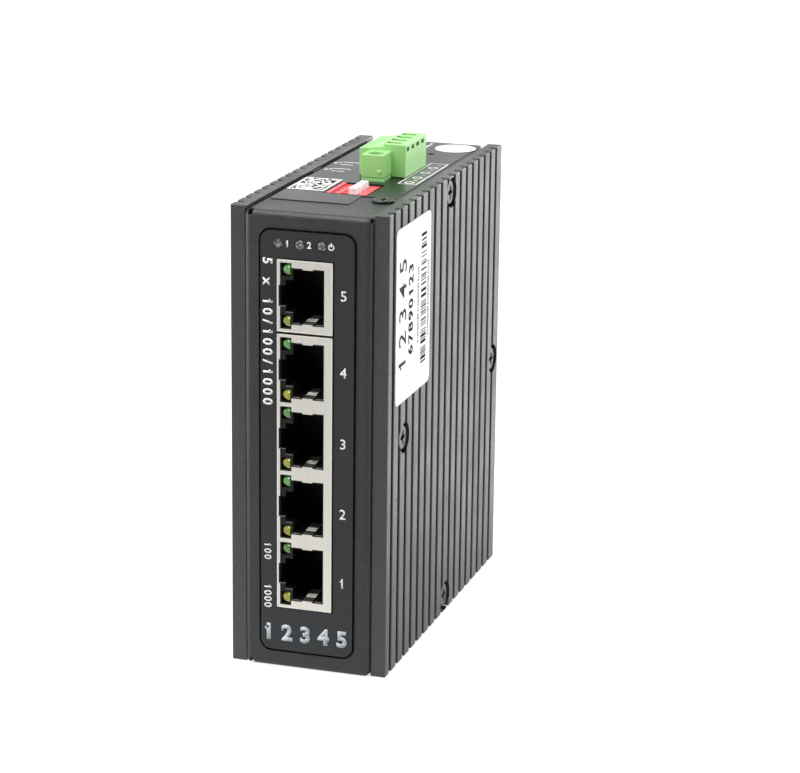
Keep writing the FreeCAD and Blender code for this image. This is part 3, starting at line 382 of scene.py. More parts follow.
@dataclass
class Bench:
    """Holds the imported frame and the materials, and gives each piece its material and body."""

    nodes: dict
    grain: Tree
    materials: dict = field(default_factory=dict)

    def paint(self, finish: Finish) -> bpy.types.Material:
        """Find the material of a finish, and build it the first time.

        Args:
            finish: the finish.

        Returns:
            Its material.
        """
        if finish.name not in self.materials:
            self.materials[finish.name] = finish.material(self.grain)
        return self.materials[finish.name]

    def dress(self, node: str, finish: Finish) -> None:
        """Give a carried-over solid its material.

        Args:
            node: the solid's name.
            finish: its finish.
        """
        mesh = self.nodes[node].data
        mesh.materials.clear()
        mesh.materials.append(self.paint(finish))
        LOG.info("dressed %s", node)

    def place(self, piece: Piece, finish: Finish, body: str = ROOT, *replaced: str) -> Piece:
        """Give a new piece its material, its body and the solids it stands for.

        Args:
            piece: the object, with its place in its mesh.
            finish: its finish.
            body: the body it rides on.
            replaced: solids that it replaces.

        Returns:
            The same object.
        """
        piece.data.materials.append(self.paint(finish))
        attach(piece, body)
        if replaced:
            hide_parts(*replaced)
        LOG.info("placed %s on %s", piece.name, body)
        return piece

    def print_on(self, name: str, ink: Shape, finish: Finish, body: str = ROOT) -> None:
        """Turn flat marks into a thin printed layer.

        Args:
            name: the piece's name.
            ink: the flat marks, which are freed.
            finish: the ink.
            body: the body it rides on.
        """
        bmesh.ops.solidify(ink, geom=list(ink.faces), thickness=-INK * MM)
        bmesh.ops.recalc_face_normals(ink, faces=ink.faces)
        self.place(from_bmesh(name, ink), finish, body)

    def refine(self, node: str, finish: Finish, edge: float = 0.12, body: str = ROOT) -> Piece:
        """Replace a solid by a merged copy with softened edges.

        Args:
            node: the solid's name.
            finish: its finish.
            edge: width of the softened edges in millimetres.
            body: the body it rides on.

        Returns:
            The new object.
        """
        shell = bmesh.new()
        shell.from_mesh(self.nodes[node].data)
        bmesh.ops.remove_doubles(shell, verts=shell.verts, dist=1e-6)
        flat = math.radians(0.5)
        bmesh.ops.dissolve_limit(shell, angle_limit=flat, verts=shell.verts, edges=shell.edges)
        piece = from_bmesh(f"{node}_skin", shell)
        soften(piece, edge)
        return self.place(piece, finish, body, node)


def from_bmesh(name: str, shape: Shape) -> Piece:
    """Turn a bmesh into an object at the origin.

    Args:
        name: the piece's name.
        shape: the bmesh, which is freed.

    Returns:
        The linked object.
    """
    mesh = bpy.data.meshes.new(name)
    shape.to_mesh(mesh)
    shape.free()
    piece = bpy.data.objects.new(name, mesh)
    bpy.context.collection.objects.link(piece)
    return piece


def soften(piece: Piece, edge: float) -> None:
    """Round the sharp edges of a piece and shade its curves smoothly.

    Args:
        piece: the object.
        edge: width of the rounding in millimetres, or 0 for none.
    """
    piece.data.shade_smooth()
    piece.data.set_sharp_from_angle(angle=math.radians(SHARP_TURN))
    if edge:
        bevel = piece.modifiers.new("soft_edges", "BEVEL")
        bevel.width = edge * MM
        bevel.segments = 2
        bevel.limit_method = "ANGLE"
        bevel.angle_limit = math.radians(ROUNDED_TURN)
        bevel.use_clamp_overlap = False
        bevel.miter_outer = "MITER_ARC"
    level = piece.modifiers.new("even_normals", "WEIGHTED_NORMAL")
    level.keep_sharp = not edge


def add_block(shape: Shape, low: tuple, high: tuple) -> None:
    """Add a block between two corners.

    Args:
        shape: the bmesh to add to.
        low: its lower corner in millimetres.
        high: its upper corner in millimetres.
    """
    low, high = millimetres(*low), millimetres(*high)
    matrix = Matrix.Translation((low + high) / 2) @ Matrix.Diagonal((*(high - low), 1))
    bmesh.ops.create_cube(shape, size=1.0, matrix=matrix)


def add_disc(shape: Shape, radius: float, depth: float, matrix: Matrix) -> None:
    """Add a short cylinder.

    Args:
        shape: the bmesh to add to.
        radius: in millimetres.
        depth: in millimetres.
        matrix: its middle and turn, from one that stands along Z.
    """
    radius, depth = radius * MM, depth * MM
    bmesh.ops.create_cone(
        shape, cap_ends=True, segments=48, radius1=radius, radius2=radius, depth=depth, matrix=matrix
    )


def add_rounded(
    shape: Shape, span: tuple[float, float], radius: float, matrix: Matrix, line: float = 0.0
) -> None:
    """Add a flat rounded rectangle, or only its outline, in millimetres.

    Args:
        shape: the bmesh to add to.
        span: width and height.
        radius: of the corners.
        matrix: where it lies, from the XY plane.
        line: width of the outline, or 0 for a filled shape.
    """
    flat = bmesh.new()
    spread = Matrix.Diagonal((span[0] * MM, span[1] * MM, 1, 1))
    bmesh.ops.create_grid(flat, x_segments=1, y_segments=1, size=0.5, matrix=spread)
    if radius:
        bmesh.ops.bevel(
            flat,
            geom=list(flat.verts),
            offset=radius * MM,
            offset_type="OFFSET",
            segments=8,
            profile=0.5,
            affect="VERTICES",
            material=-1,
        )
    if line:
        centre = flat.faces[:]
        bmesh.ops.inset_region(
            flat, faces=centre, thickness=line * MM, use_boundary=True, use_even_offset=True
        )
        bmesh.ops.delete(flat, geom=centre, context="FACES_ONLY")
    bmesh.ops.transform(flat, matrix=matrix, verts=flat.verts)
    merge_into(shape, flat)


def merge_into(shape: Shape, extra: Shape) -> None:
    """Copy one bmesh into another.

    Args:
        shape: the bmesh to add to.
        extra: the bmesh that is copied, and freed.
    """
    mesh = bpy.data.meshes.new("joined")
    extra.to_mesh(mesh)
    extra.free()
    shape.from_mesh(mesh)
    bpy.data.meshes.remove(mesh)


def add_words(shape: Shape, words: str, size: float, matrix: Matrix, bold: float = 0.0) -> None:
    """Add flat lettering, centred, in millimetres of cap height.

    Args:
        shape: the bmesh to add to.
        words: the characters.
        size: height of a capital.
        matrix: where it lies, from the XY plane.
        bold: how far the strokes grow.
    """
    curve = bpy.data.curves.new("words", "FONT")
    curve.body = words
    curve.align_x = "CENTER"
    curve.align_y = "CENTER"
    curve.size = size * MM / CAPITAL
    curve.offset = bold * MM
    curve.resolution_u = 4
    holder = bpy.data.objects.new("words", curve)
    bpy.context.collection.objects.link(holder)
    bpy.context.view_layer.update()
    mesh = bpy.data.meshes.new_from_object(holder)
    mesh.transform(matrix)
    shape.from_mesh(mesh)
    bpy.data.meshes.remove(mesh)
    bpy.data.objects.remove(holder)
    bpy.data.curves.remove(curve)


def add_row(
    shape: Shape, words: str, size: float, pitch: float, matrix: Matrix, bold: float = 0.0
) -> None:
    """Add evenly spaced characters, with a flag on each 1, in millimetres.

    Args:
        shape: the bmesh to add to.
        words: the characters.
        size: height of a capital.
        pitch: distance from one to the next.
        matrix: where the middle of the row lies, from the XY plane.
        bold: how far the strokes grow.
    """
    first = -pitch * (len(words) - 1) / 2
    for step, sign in enumerate(words):
        spot = matrix @ Matrix.Translation(millimetres(first + pitch * step, 0, 0))
        if sign != " ":
            add_words(shape, sign, size, spot, bold)
        if sign == "1":
            tip = Matrix.Translation(millimetres(-0.13 * size, 0.31 * size, 0))
            flag = tip @ Matrix.Rotation(0.7, 4, "Z")
            add_rounded(shape, (0.3 * size, 0.1 * size + bold), 0.0, spot @ flag)


def on_side(side: Side, x: float, y: float, z: float, spin: float = 0.0) -> Matrix:
    """Where a flat mark lies: its side, its place in millimetres and its turn in degrees."""
    place = Matrix.Translation(millimetres(x, y, z))
    return place @ side.turn() @ Matrix.Rotation(math.radians(spin), 4, "Z")


def slice_through(shape: Shape, place: Vector, normal: tuple, clear: bool = False) -> list:
    """Cut through a bmesh with a plane.

    Args:
        shape: the bmesh.
        place: a point of the plane.
        normal: the way it faces.
        clear: whether what lies in front of it is dropped.

    Returns:
        The edges of the cut.
    """
    parts = shape.verts[:] + shape.edges[:] + shape.faces[:]
    cut = bmesh.ops.bisect_plane(shape, geom=parts, plane_co=place, plane_no=normal, clear_outer=clear)
    return [part for part in cut["geom_cut"] if isinstance(part, bmesh.types.BMEdge)]


def draw_out(shape: Shape, faces: list, reach: Vector) -> None:
    """Draw faces out of a closed bmesh.

    Args:
        shape: the bmesh.
        faces: the faces, which don't stay inside.
        reach: how far and which way, in metres.
    """
    grown = bmesh.ops.extrude_face_region(shape, geom=faces)["geom"]
    bmesh.ops.delete(shape, geom=faces, context="FACES")
    tips = [part for part in grown if isinstance(part, bmesh.types.BMVert)]
    bmesh.ops.translate(shape, vec=reach, verts=tips)


def cut_away(piece: Piece, tool: Shape) -> None:
    """Cut one shape out of a piece and keep the result as its mesh.

    Args:
        piece: the object.
        tool: the shape that is cut away, which is freed.
    """
    cutter = from_bmesh("cutter", tool)
    cut = piece.modifiers.new("cut", "BOOLEAN")
    cut.operation = "DIFFERENCE"
    cut.solver = "EXACT"
    cut.object = cutter
    bpy.context.view_layer.update()
    ready = piece.evaluated_get(bpy.context.evaluated_depsgraph_get())
    old, piece.data = piece.data, bpy.data.meshes.new_from_object(ready)
    piece.data.name = piece.name
    piece.modifiers.clear()
    bpy.data.meshes.remove(old)
    bpy.data.objects.remove(cutter)


@dataclass
class FinnedPanel:
    """A cast side panel with rounded fins and sunk screw seats."""

    bench: Bench
    node: str
    side: int
    groove_pitch: float = 5.09
    groove_width: float = 1.5
    groove_cut: float = 1.7
    groove_first: float = 3.6
    edge: float = 0.27
    sink_radius: float = 3.57
    sink_floor: float = 1.0
    sink_over: float = 1.0
    seat_reach: float = 3.0
    seat_gap: float = 0.3
    seat_sunk: float = 0.1
    screw_edge: float = 3.8
    screw_column: float = 2.7
    screw_front: float = -32.0
    screw_rear: float = 41.0

    def build(self) -> None:
        """Shape the panel on the right, mirror it if it is the left one, and place it."""
        own = Extent.of(self.node)
        inner, outer = sorted((abs(own.low.x), abs(own.high.x)))
        shape = self._fins(own, inner, outer)
        self._round(shape)
        piece = from_bmesh(f"{self.node}_skin", shape)
        cut_away(piece, self._sinks(own, inner, outer))
        self._seats(piece, own, inner)
        if self.side < 0:
            piece.data.transform(Matrix.Scale(-1, 4, Vector((1, 0, 0))))
            piece.data.flip_normals()
        soften(piece, 0)
        self.bench.place(piece, PANEL, ROOT, self.node)

    def _grooves(self, own: Extent) -> list[float]:
        """Space the grooves over the panel.

        Args:
            own: the panel's box.

        Returns:
            The middle of each groove, from the front, in millimetres.
        """
        first = own.low.y + self.groove_first
        count = int((own.high.y - first - self.groove_width) / self.groove_pitch) + 1
        return [first + self.groove_pitch * step for step in range(count)]

    def _fins(self, own: Extent, inner: float, outer: float) -> Shape:
        """A slab whose outer face is drawn out between the grooves.

        Args:
            own: the panel's box.
            inner: distance of the inner face from the middle.
            outer: distance of the outer face.

        Returns:
            The finned slab.
        """
        shape = bmesh.new()
        root = outer - self.groove_cut
        add_block(shape, (inner, own.low.y, own.low.z), (root, own.high.y, own.high.z))
        middles = self._grooves(own)
        for middle in middles:
            for wall in (middle - self.groove_width / 2, middle + self.groove_width / 2):
                slice_through(shape, millimetres(0, wall, 0), (0, 1, 0))
        reach = self.groove_width * MM / 2
        fins = [
            face
            for face in shape.faces
            if face.normal.x > 0.9
            and all(abs(face.calc_center_median().y - middle * MM) > reach for middle in middles)
        ]
        draw_out(shape, fins, millimetres(self.groove_cut, 0, 0))
        bmesh.ops.dissolve_limit(shape, angle_limit=0.01, verts=shape.verts, edges=shape.edges)
        return shape

    def _round(self, shape: Shape) -> None:
        """Round the outward edges of the slab and its fins.

        Args:
            shape: the finned slab.
        """
        shape.normal_update()
        sharp = [edge for edge in shape.edges if edge.is_convex and edge.calc_face_angle(0) > 1]
        bmesh.ops.bevel(
            shape,
            geom=sharp,
            offset=self.edge * MM,
            offset_type="OFFSET",
            segments=3,
            profile=0.5,
            affect="EDGES",
            clamp_overlap=True,
            material=-1,
        )

    def _spots(self, own: Extent) -> list[tuple[float, float]]:
        """Where the four screws sit, as Y and Z."""
        middle = own.middle().z
        return [
            (self.screw_column, own.low.z + self.screw_edge),
            (self.screw_column, own.high.z - self.screw_edge),
            (self.screw_front, middle),
            (self.screw_rear, middle),
        ]

    def _sinks(self, own: Extent, inner: float, outer: float) -> Shape:
        """The round seats that are cut for the screw heads.

        Args:
            own: the panel's box.
            inner: distance of the inner face from the middle.
            outer: distance of the outer face.

        Returns:
            The seats.
        """
        tool = bmesh.new()
        floor = inner + self.sink_floor
        depth = outer + self.sink_over - floor
        lying = Matrix.Rotation(math.radians(90), 4, "Y")
        for y, z in self._spots(own):
            spot = Matrix.Translation(millimetres(floor + depth / 2, y, z)) @ lying
            add_disc(tool, self.sink_radius, depth, spot)
        return tool

    def _seats(self, piece: Piece, own: Extent, inner: float) -> None:
        """Add the low square bosses that meet the case.

        Args:
            piece: the panel.
            own: its box.
            inner: distance of the inner face from the middle.
        """
        shape = bmesh.new()
        shape.from_mesh(piece.data)
        reach = self.seat_reach
        near, far = inner - self.seat_gap, inner + self.seat_sunk
        for y, z in self._spots(own):
            add_block(shape, (near, y - reach, z - reach), (far, y + reach, z + reach))
        shape.to_mesh(piece.data)
        shape.free()


@dataclass
class Casework:
    """The folded case, its back wall, the two panels and the screws that hold them."""

    bench: Bench
    sheet_edge: float = 0.1
    film_edge: float = 0.05
    screw_edge: float = 0.3
    earth_edge: float = 0.2

    def build(self) -> None:
        """Refine and dress the housing."""
        for node in ("case_shell", "rear_plate"):
            self.bench.refine(node, CASE, self.sheet_edge)
        FinnedPanel(self.bench, "right_panel", 1).build()
        FinnedPanel(self.bench, "left_panel", -1).build()
        for node in ("right_panel_screws", "left_panel_screws"):
            self.bench.refine(node, SCREW, self.screw_edge)
        self.bench.refine("earth_screw", DARK_ZINC, self.earth_edge)
        for node in ("front_label", "top_label"):
            self.bench.refine(node, FILM_INK, self.film_edge)


@dataclass
class PortBank:
    """Steel cans, black mouldings, contacts and domed lamps."""

    bench: Bench
    lamp_right: float = -3.93
    lamp_wide: float = 2.09
    lamp_low: float = 4.42
    lamp_high: float = 7.27
    lamp_sink: float = 0.12
    dome: float = 0.95
    lamp_length: float = 8.0
    lamp_crease: float = 50.0
    light_edge: float = 0.1
    rim: float = 0.27
    rim_corner: float = 0.12
    # left end, right end and drop below the port's middle of each bar of painted edge highlight
    edges: tuple = ((-6.28, -5.08, 2.3), (-5.0, -3.35, 3.6), (-3.2, -1.6, 6.05), (2.1, 3.7, 6.05))
    edge_proud: float = 0.02
    edge_deep: float = 0.4
    edge_tall: float = 0.2
    tongue_drop: float = 6.13
    tongue_lean: float = 0.55
    tongue_length: float = 7.0
    tongue_left: float = -0.95
    tongue_wide: float = 2.3
    bend_shares: tuple[float, ...] = (0.42, 0.50, 0.58)
    bend_rise: float = 0.02
    bend_reach: float = 0.3
    bend_sunk: float = 0.1
    bend_proud: float = 0.06

    def build(self) -> None:
        """Dress the sockets, add the painted highlights of rims, edge bars and tongues, build the lamps and
        refine the lights.
        """
        for name in ("single", "gang"):
            self.bench.dress(f"{name}_socket_can", NICKEL)
            self.bench.dress(f"{name}_socket_moulding", BLACK_PLASTIC)
            self.bench.dress(f"{name}_socket_contacts", GOLD)
        self._rims()
        self._edges()
        self._tongues()
        self._lamps("upper_port_lamps", 1, GREEN_LAMP)
        self._lamps("lower_port_lamps", -1, YELLOW_LAMP)
        self.bench.refine("indicator_lights", FROSTED, self.light_edge)

    def _rims(self) -> None:
        """The folded outer edge of each can, as a painted highlight: a ring of brighter nickel on its face.
        """
        ring = bmesh.new()
        for name in ("single", "gang"):
            can = Extent.of(f"{name}_socket_can")
            middle = can.middle()
            span = (can.high.x - can.low.x, can.high.z - can.low.z)
            spot = on_side(Side.FRONT, middle.x, can.low.y - OFF, middle.z)
            add_rounded(ring, span, self.rim_corner, spot, self.rim)
        self.bench.print_on("can_rims", ring, NICKEL_HIGHLIGHT)

    def _edges(self) -> None:
        """Painted highlights: grey bars on the upper edges of each moulding beside and below its lamps, where
        the rounded edges catch the overhead light.
        """
        bars = bmesh.new()
        face = Extent.of("gang_socket_moulding").low.y
        for height in port_heights():
            for left, right, drop in self.edges:
                low = (left, face - self.edge_proud, height - drop - self.edge_tall)
                add_block(bars, low, (right, face + self.edge_deep, height - drop))
        piece = from_bmesh("socket_edge_highlights", bars)
        soften(piece, 0)
        self.bench.place(piece, EDGE_HIGHLIGHT_PLASTIC)

    def _tongues(self) -> None:
        """Painted highlights on the bend of the lower spring tongues: bright patches on three ports, dimmer
        nickel ones on the other two.
        """
        face = Extent.of("gang_socket_can").low.y
        right = self.tongue_left + self.tongue_wide
        for name, finish, chosen in (("bright", NICKEL_HIGHLIGHT, (0, 1, 3)), ("dull", NICKEL, (2, 4))):
            bends = bmesh.new()
            for index in chosen:
                height = port_heights()[index]
                for step, share in enumerate(self.bend_shares):
                    top = height - self.tongue_drop + self.tongue_lean * share + self.bend_rise * step
                    deep = face + self.tongue_length * share
                    low = (self.tongue_left, deep - self.bend_reach, top - self.bend_sunk)
                    add_block(bends, low, (right, deep + self.bend_reach, top + self.bend_proud))
            piece = from_bmesh(f"{name}_tongue_highlights", bends)
            soften(piece, 0)
            self.bench.place(piece, finish)

    def _lamps(self, node: str, side: int, finish: Finish) -> None:
        """One domed lamp per port, flat towards the opening.

        Args:
            node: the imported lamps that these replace.
            side: 1 above the latch channel, -1 below.
            finish: the lamp's colour.
        """
        shape = bmesh.new()
        for height in port_heights():
            middle = height + side * (self.lamp_low + self.lamp_high) / 2
            merge_into(shape, self._lamp(middle))
        piece = from_bmesh(f"{node}_lenses", shape)
        piece.data.shade_smooth()
        piece.data.set_sharp_from_angle(angle=math.radians(self.lamp_crease))
        self.bench.place(piece, finish, ROOT, node)

    def _lamp(self, middle: float) -> Shape:
        """A half-round dome that runs back as a rod.

        Args:
            middle: its height.

        Returns:
            The lamp.
        """
        front = Extent.of("gang_socket_can").low.y + self.lamp_sink
        half_tall = (self.lamp_high - self.lamp_low) / 2
        centre = Matrix.Translation(millimetres(self.lamp_right, front + self.dome, middle))
        swell = Matrix.Diagonal((self.lamp_wide * MM, self.dome * MM, half_tall * MM, 1))
        lamp = bmesh.new()
        bmesh.ops.create_uvsphere(lamp, u_segments=32, v_segments=16, radius=1, matrix=centre @ swell)
        for place, normal in (((self.lamp_right, 0, 0), (1, 0, 0)), ((0, front + self.dome, 0), (0, 1, 0))):
            rim = slice_through(lamp, millimetres(*place), normal, clear=True)
            bmesh.ops.edgeloop_fill(lamp, edges=rim)
        back = [face for face in lamp.faces if face.normal.y > 0.99]
        draw_out(lamp, back, millimetres(0, self.lamp_length, 0))
        bmesh.ops.recalc_face_normals(lamp, faces=lamp.faces)
        return lamp


def port_heights() -> list[float]:
    """Work out where the ports are from their cans.

    Returns:
        The middle height of each port, from the lowest, in millimetres.
    """
    gang = Extent.of("gang_socket_can")
    pitch = (gang.high.z - gang.low.z - 2 * PORT_HALF) / 3
    heights = [gang.low.z + PORT_HALF + pitch * step for step in range(4)]
    return heights + [Extent.of("single_socket_can").middle().z]


@dataclass
class FrontPrint:
    """White print, and a painted shadow line round the film on the port side, for the gap at its edge."""

    bench: Bench
    number_x: float = 8.5
    number_lift: float = -0.2
    number_spread: float = 1.03
    number_size: float = 2.3
    number_bold: float = 0.03
    strip_x: float = -9.35
    strip_z: float = 79.2
    strip_size: float = 2.15
    strip_pitch: float = 2.3
    strip_bold: float = 0.1
    light_in: float = 1.08
    light_pitch: float = 5.08
    light_step: float = 2.25
    light_number: float = 1.45
    power_ring: tuple[float, float] = (1.4, 1.4)
    power_corner: float = 0.66
    power_line: float = 0.25
    power_bar: tuple[float, float] = (0.3, 0.9)
    power_bar_up: float = 0.5
    marks: tuple = (("1000", 17.1, 1.75), ("100", 27.9, 1.6))
    mark_pitch: float = 1.45
    mark_bold: float = 0.05
    foot_x: float = -0.3
    foot_z: float = 8.4
    foot_size: float = 3.6
    foot_pitch: float = 4.4
    foot_bold: float = 0.22
    # width, overhang and corner of the painted shadow line round the film
    line: float = 0.4
    line_out: float = 0.3
    corner: float = 2.85

    def build(self) -> None:
        """Lay every mark of the film."""
        film = Extent.of("front_label")
        face = film.low.y - OFF
        ink = bmesh.new()
        middle_port = port_heights()[2]
        for number, height in enumerate(port_heights(), start=1):
            lift = middle_port + (height - middle_port) * self.number_spread + self.number_lift
            spot = on_side(Side.FRONT, self.number_x, face, lift)
            add_row(ink, str(number), self.number_size, 0.0, spot, self.number_bold)
        strip = on_side(Side.FRONT, self.strip_x, face, self.strip_z, -90)
        add_row(ink, "5 x 10/100/1000", self.strip_size, self.strip_pitch, strip, self.strip_bold)
        self._legends(ink, face)
        for words, height, size in self.marks:
            spot = on_side(Side.FRONT, self.strip_x, face, height, -90)
            add_row(ink, words, size, self.mark_pitch, spot, self.mark_bold)
        self.bench.print_on("front_print", ink, WHITE_INK)
        foot = bmesh.new()
        foot_place = on_side(Side.FRONT, self.foot_x, face, self.foot_z)
        add_row(foot, "12345", self.foot_size, self.foot_pitch, foot_place, self.foot_bold)
        self.bench.print_on("front_numbers", foot, PALE_INK)
        # painted shade: a near-black ring round the film where the gap at its edge is in shadow
        line = bmesh.new()
        middle = film.middle()
        span = (film.high.x - film.low.x + self.line_out, film.high.z - film.low.z + self.line_out)
        add_rounded(line, span, self.corner, on_side(Side.FRONT, middle.x, face, middle.z), self.line)
        self.bench.print_on("front_gap_shade", line, GAP_SHADE_AND_SPOT)

    def _legends(self, ink: Shape, face: float) -> None:
        """Plain numerals and a power mark beside the lights.

        Args:
            ink: the marks.
            face: where the film's face lies.
        """
        lights = Extent.of("indicator_lights")
        first, height = lights.low.x + self.light_in, lights.middle().z
        for number in (1, 2):
            place = first + self.light_pitch * (number - 1) + self.light_step
            spot = on_side(Side.FRONT, place, face, height)
            add_row(ink, str(number), self.light_number, 0.0, spot, self.mark_bold)
        mark = on_side(Side.FRONT, first + 2 * self.light_pitch + self.light_step, face, height)
        add_rounded(ink, self.power_ring, self.power_corner, mark, self.power_line)
        raised = Matrix.Translation(millimetres(0, self.power_bar_up, INK))
        add_rounded(ink, self.power_bar, 0.0, mark @ raised)


@dataclass
class TopPrint:
    """Pale print on the top film: the plug's legend, two drawings and small marks; a dark spot, and a painted
    shadow line round the setting switch for the gap beside it.
    """

    bench: Bench
    legend_x: tuple[float, float] = (8.5, 13.1)
    legend_y: tuple[float, float] = (-8.0, 18.0)
    legend_corner: float = 0.3
    legend_line: float = 0.36
    way_first: float = -6.0
    way_pitch: float = 6.2
    ring: tuple[float, float] = (2.4, 2.4)
    ring_corner: float = 1.15
    ring_line: float = 0.5
    sign_right: float = 0.6
    sign_bar: tuple[float, float] = (0.9, 0.3)
    sign_stub: tuple[float, float] = (0.3, 0.28)
    drawings: tuple = ((-9.7, 2.4), (-10.1, 10.5))
    dash: tuple[float, float] = (0.55, 1.4)
    dash_x: float = 1.5
    dash_first: float = 37.6
    dash_pitch: float = 2.1
    mark_corner: float = 0.1
    spot_place: tuple[float, float] = (5.2, 29.2)
    spot_radius: float = 0.8
    border_out: float = 0.9
    border_line: float = 0.35

    def build(self) -> None:
        """Lay every mark of the film."""
        face = Extent.of("top_label").high.z + OFF
        ink = bmesh.new()
        self._legend(ink, face)
        for across, along in self.drawings:
            self._drawing(ink, face, across, along)
        for step in range(3):
            spot = on_side(Side.TOP, self.dash_x, self.dash_first + self.dash_pitch * step, face)
            add_rounded(ink, self.dash, self.mark_corner, spot)
        self.bench.print_on("top_print", ink, WHITE_INK)
        dot = bmesh.new()
        spot = on_side(Side.TOP, *self.spot_place, face)
        bmesh.ops.create_circle(dot, cap_ends=True, segments=24, radius=self.spot_radius * MM, matrix=spot)
        self.bench.print_on("top_spot", dot, GAP_SHADE_AND_SPOT)
        # painted shade: a near-black outline round the setting switch where the gap beside it is in shadow
        rim = bmesh.new()
        slide = Extent.of("setting_switch")
        left = slide.low.x - SLIDE_LIP
        span = (slide.high.x - left + self.border_out, slide.high.y - slide.low.y + self.border_out)
        spot = on_side(Side.TOP, (left + slide.high.x) / 2, slide.middle().y, face)
        add_rounded(rim, span, self.mark_corner, spot, self.border_line)
        self.bench.print_on("slide_gap_shade", rim, GAP_SHADE_AND_SPOT)

    def _legend(self, ink: Shape, face: float) -> None:
        """The box beside the plug, with a ring and a plus or a minus for each way.

        Args:
            ink: the marks.
            face: height of the film's face.
        """
        across, along = sum(self.legend_x) / 2, sum(self.legend_y) / 2
        span = (self.legend_x[1] - self.legend_x[0], self.legend_y[1] - self.legend_y[0])
        add_rounded(ink, span, self.legend_corner, on_side(Side.TOP, across, along, face), self.legend_line)
        for way in range(4):
            back = self.way_first + self.way_pitch * way
            spot = on_side(Side.TOP, across, back, face)
            add_rounded(ink, self.ring, self.ring_corner, spot, self.ring_line)
            sign = on_side(Side.TOP, across + self.sign_right, back + self.way_pitch / 2, face)
            add_rounded(ink, self.sign_bar, 0.0, sign)
            if way % 2 == 0:
                for reach in (self.sign_bar[1], -self.sign_bar[1]):
                    add_rounded(ink, self.sign_stub, 0.0, sign @ Matrix.Translation(millimetres(0, reach, 0)))

    def _drawing(self, ink: Shape, face: float, across: float, along: float) -> None:
        """A plain drawing: a dot that forks into two lines.

        Args:
            ink: the marks.
            face: height of the film's face.
            across: its middle in X.
            along: its middle in Y.
        """
        for right, back, wide, long, corner, spin in (
            (0.6, -1.45, 3.2, 0.5, 0.0, 0.0),
            (0.7, 1.45, 4.4, 0.5, 0.0, 0.0),
            (-2.4, -0.1, 1.3, 1.1, 0.5, 0.0),
            (-1.75, 0.7, 1.9, 0.45, 0.0, 55.0),
        ):
            spot = on_side(Side.TOP, across + right, along + back, face, spin)
            add_rounded(ink, (wide, long), corner, spot)


@dataclass
class Stickers:
    """Paper stickers with bars, plain numbers and a random matrix."""

    bench: Bench
    seed: int = 7
    paper_edge: float = 0.03
    row_z: float = 20.2
    big_y: float = 5.1
    big_size: float = 5.0
    big_pitch: float = 5.6
    big_bold: float = 0.06
    small_y: float = 11.0
    small_size: float = 3.1
    small_pitch: float = 2.7
    small_bold: float = 0.12
    fine_y: tuple[float, float] = (16.3, 23.9)
    fine_z: float = 20.0
    fine_size: float = 0.95
    fine_bold: float = 0.02
    bars_y: float = 20.4
    bars_long: float = 3.9
    bars_span: tuple[float, float] = (5.7, 35.6)
    bars_wide: tuple[float, ...] = (0.25, 0.25, 0.4, 0.7)
    bars_gap: tuple[float, ...] = (0.25, 0.35, 0.6, 0.9)
    cells: tuple[int, int] = (17, 22)
    cells_in: float = 0.5
    cells_filled: float = 0.42
    cell_share: float = 0.98

    def build(self) -> None:
        """Dress the stickers and lay their print."""
        chance = random.Random(self.seed)
        for node in ("side_sticker", "round_sticker", "code_sticker"):
            self.bench.refine(node, PAPER, self.paper_edge)
        self._side_print(chance)
        self._matrix(chance)

    def _side_print(self, chance: random.Random) -> None:
        """Numbers, fine rows and a bar strip that read from the bottom up.

        Args:
            chance: the source of random draws.
        """
        note = Extent.of("side_sticker")
        face = note.high.x + OFF

        def spot(back: float, up: float) -> Matrix:
            """Where a mark lies, from the sticker's lower front corner, turned to read upwards."""
            return on_side(Side.RIGHT, face, note.low.y + back, note.low.z + up, 90)

        grey = bmesh.new()
        add_row(grey, "12345", self.big_size, self.big_pitch, spot(self.big_y, self.row_z), self.big_bold)
        self.bench.print_on("side_numbers", grey, GREY_INK)
        dark = bmesh.new()
        place = spot(self.small_y, self.row_z)
        add_row(dark, "67890123", self.small_size, self.small_pitch, place, self.small_bold)
        for back in self.fine_y:
            place = spot(back, self.fine_z)
            add_words(dark, "0123456789 0123456789 01234", self.fine_size, place, self.fine_bold)
        up = self.bars_span[0]
        while up < self.bars_span[1]:
            wide = chance.choice(self.bars_wide)
            add_rounded(dark, (wide, self.bars_long), 0.0, spot(self.bars_y, up + wide / 2))
            up += wide + chance.choice(self.bars_gap)
        self.bench.print_on("side_print", dark, DARK_INK)

    def _matrix(self, chance: random.Random) -> None:
        """A random field of small squares on the square sticker.

        Args:
            chance: the source of random draws.
        """
        code = Extent.of("code_sticker")
        face = code.high.z + OFF
        left, front = code.low.x + self.cells_in, code.low.y + self.cells_in
        columns, rows = self.cells
        wide = (code.high.x - code.low.x - 2 * self.cells_in) / columns
        deep = (code.high.y - code.low.y - 2 * self.cells_in) / rows
        cell = (wide * self.cell_share, deep * self.cell_share)
        ink = bmesh.new()
        for column in range(columns):
            for row in range(rows):
                if chance.random() < self.cells_filled:
                    spot = on_side(Side.TOP, left + wide * (column + 0.5), front + deep * (row + 0.5), face)
                    add_rounded(ink, cell, 0.0, spot)
        self.bench.print_on("code_print", ink, DARK_INK)


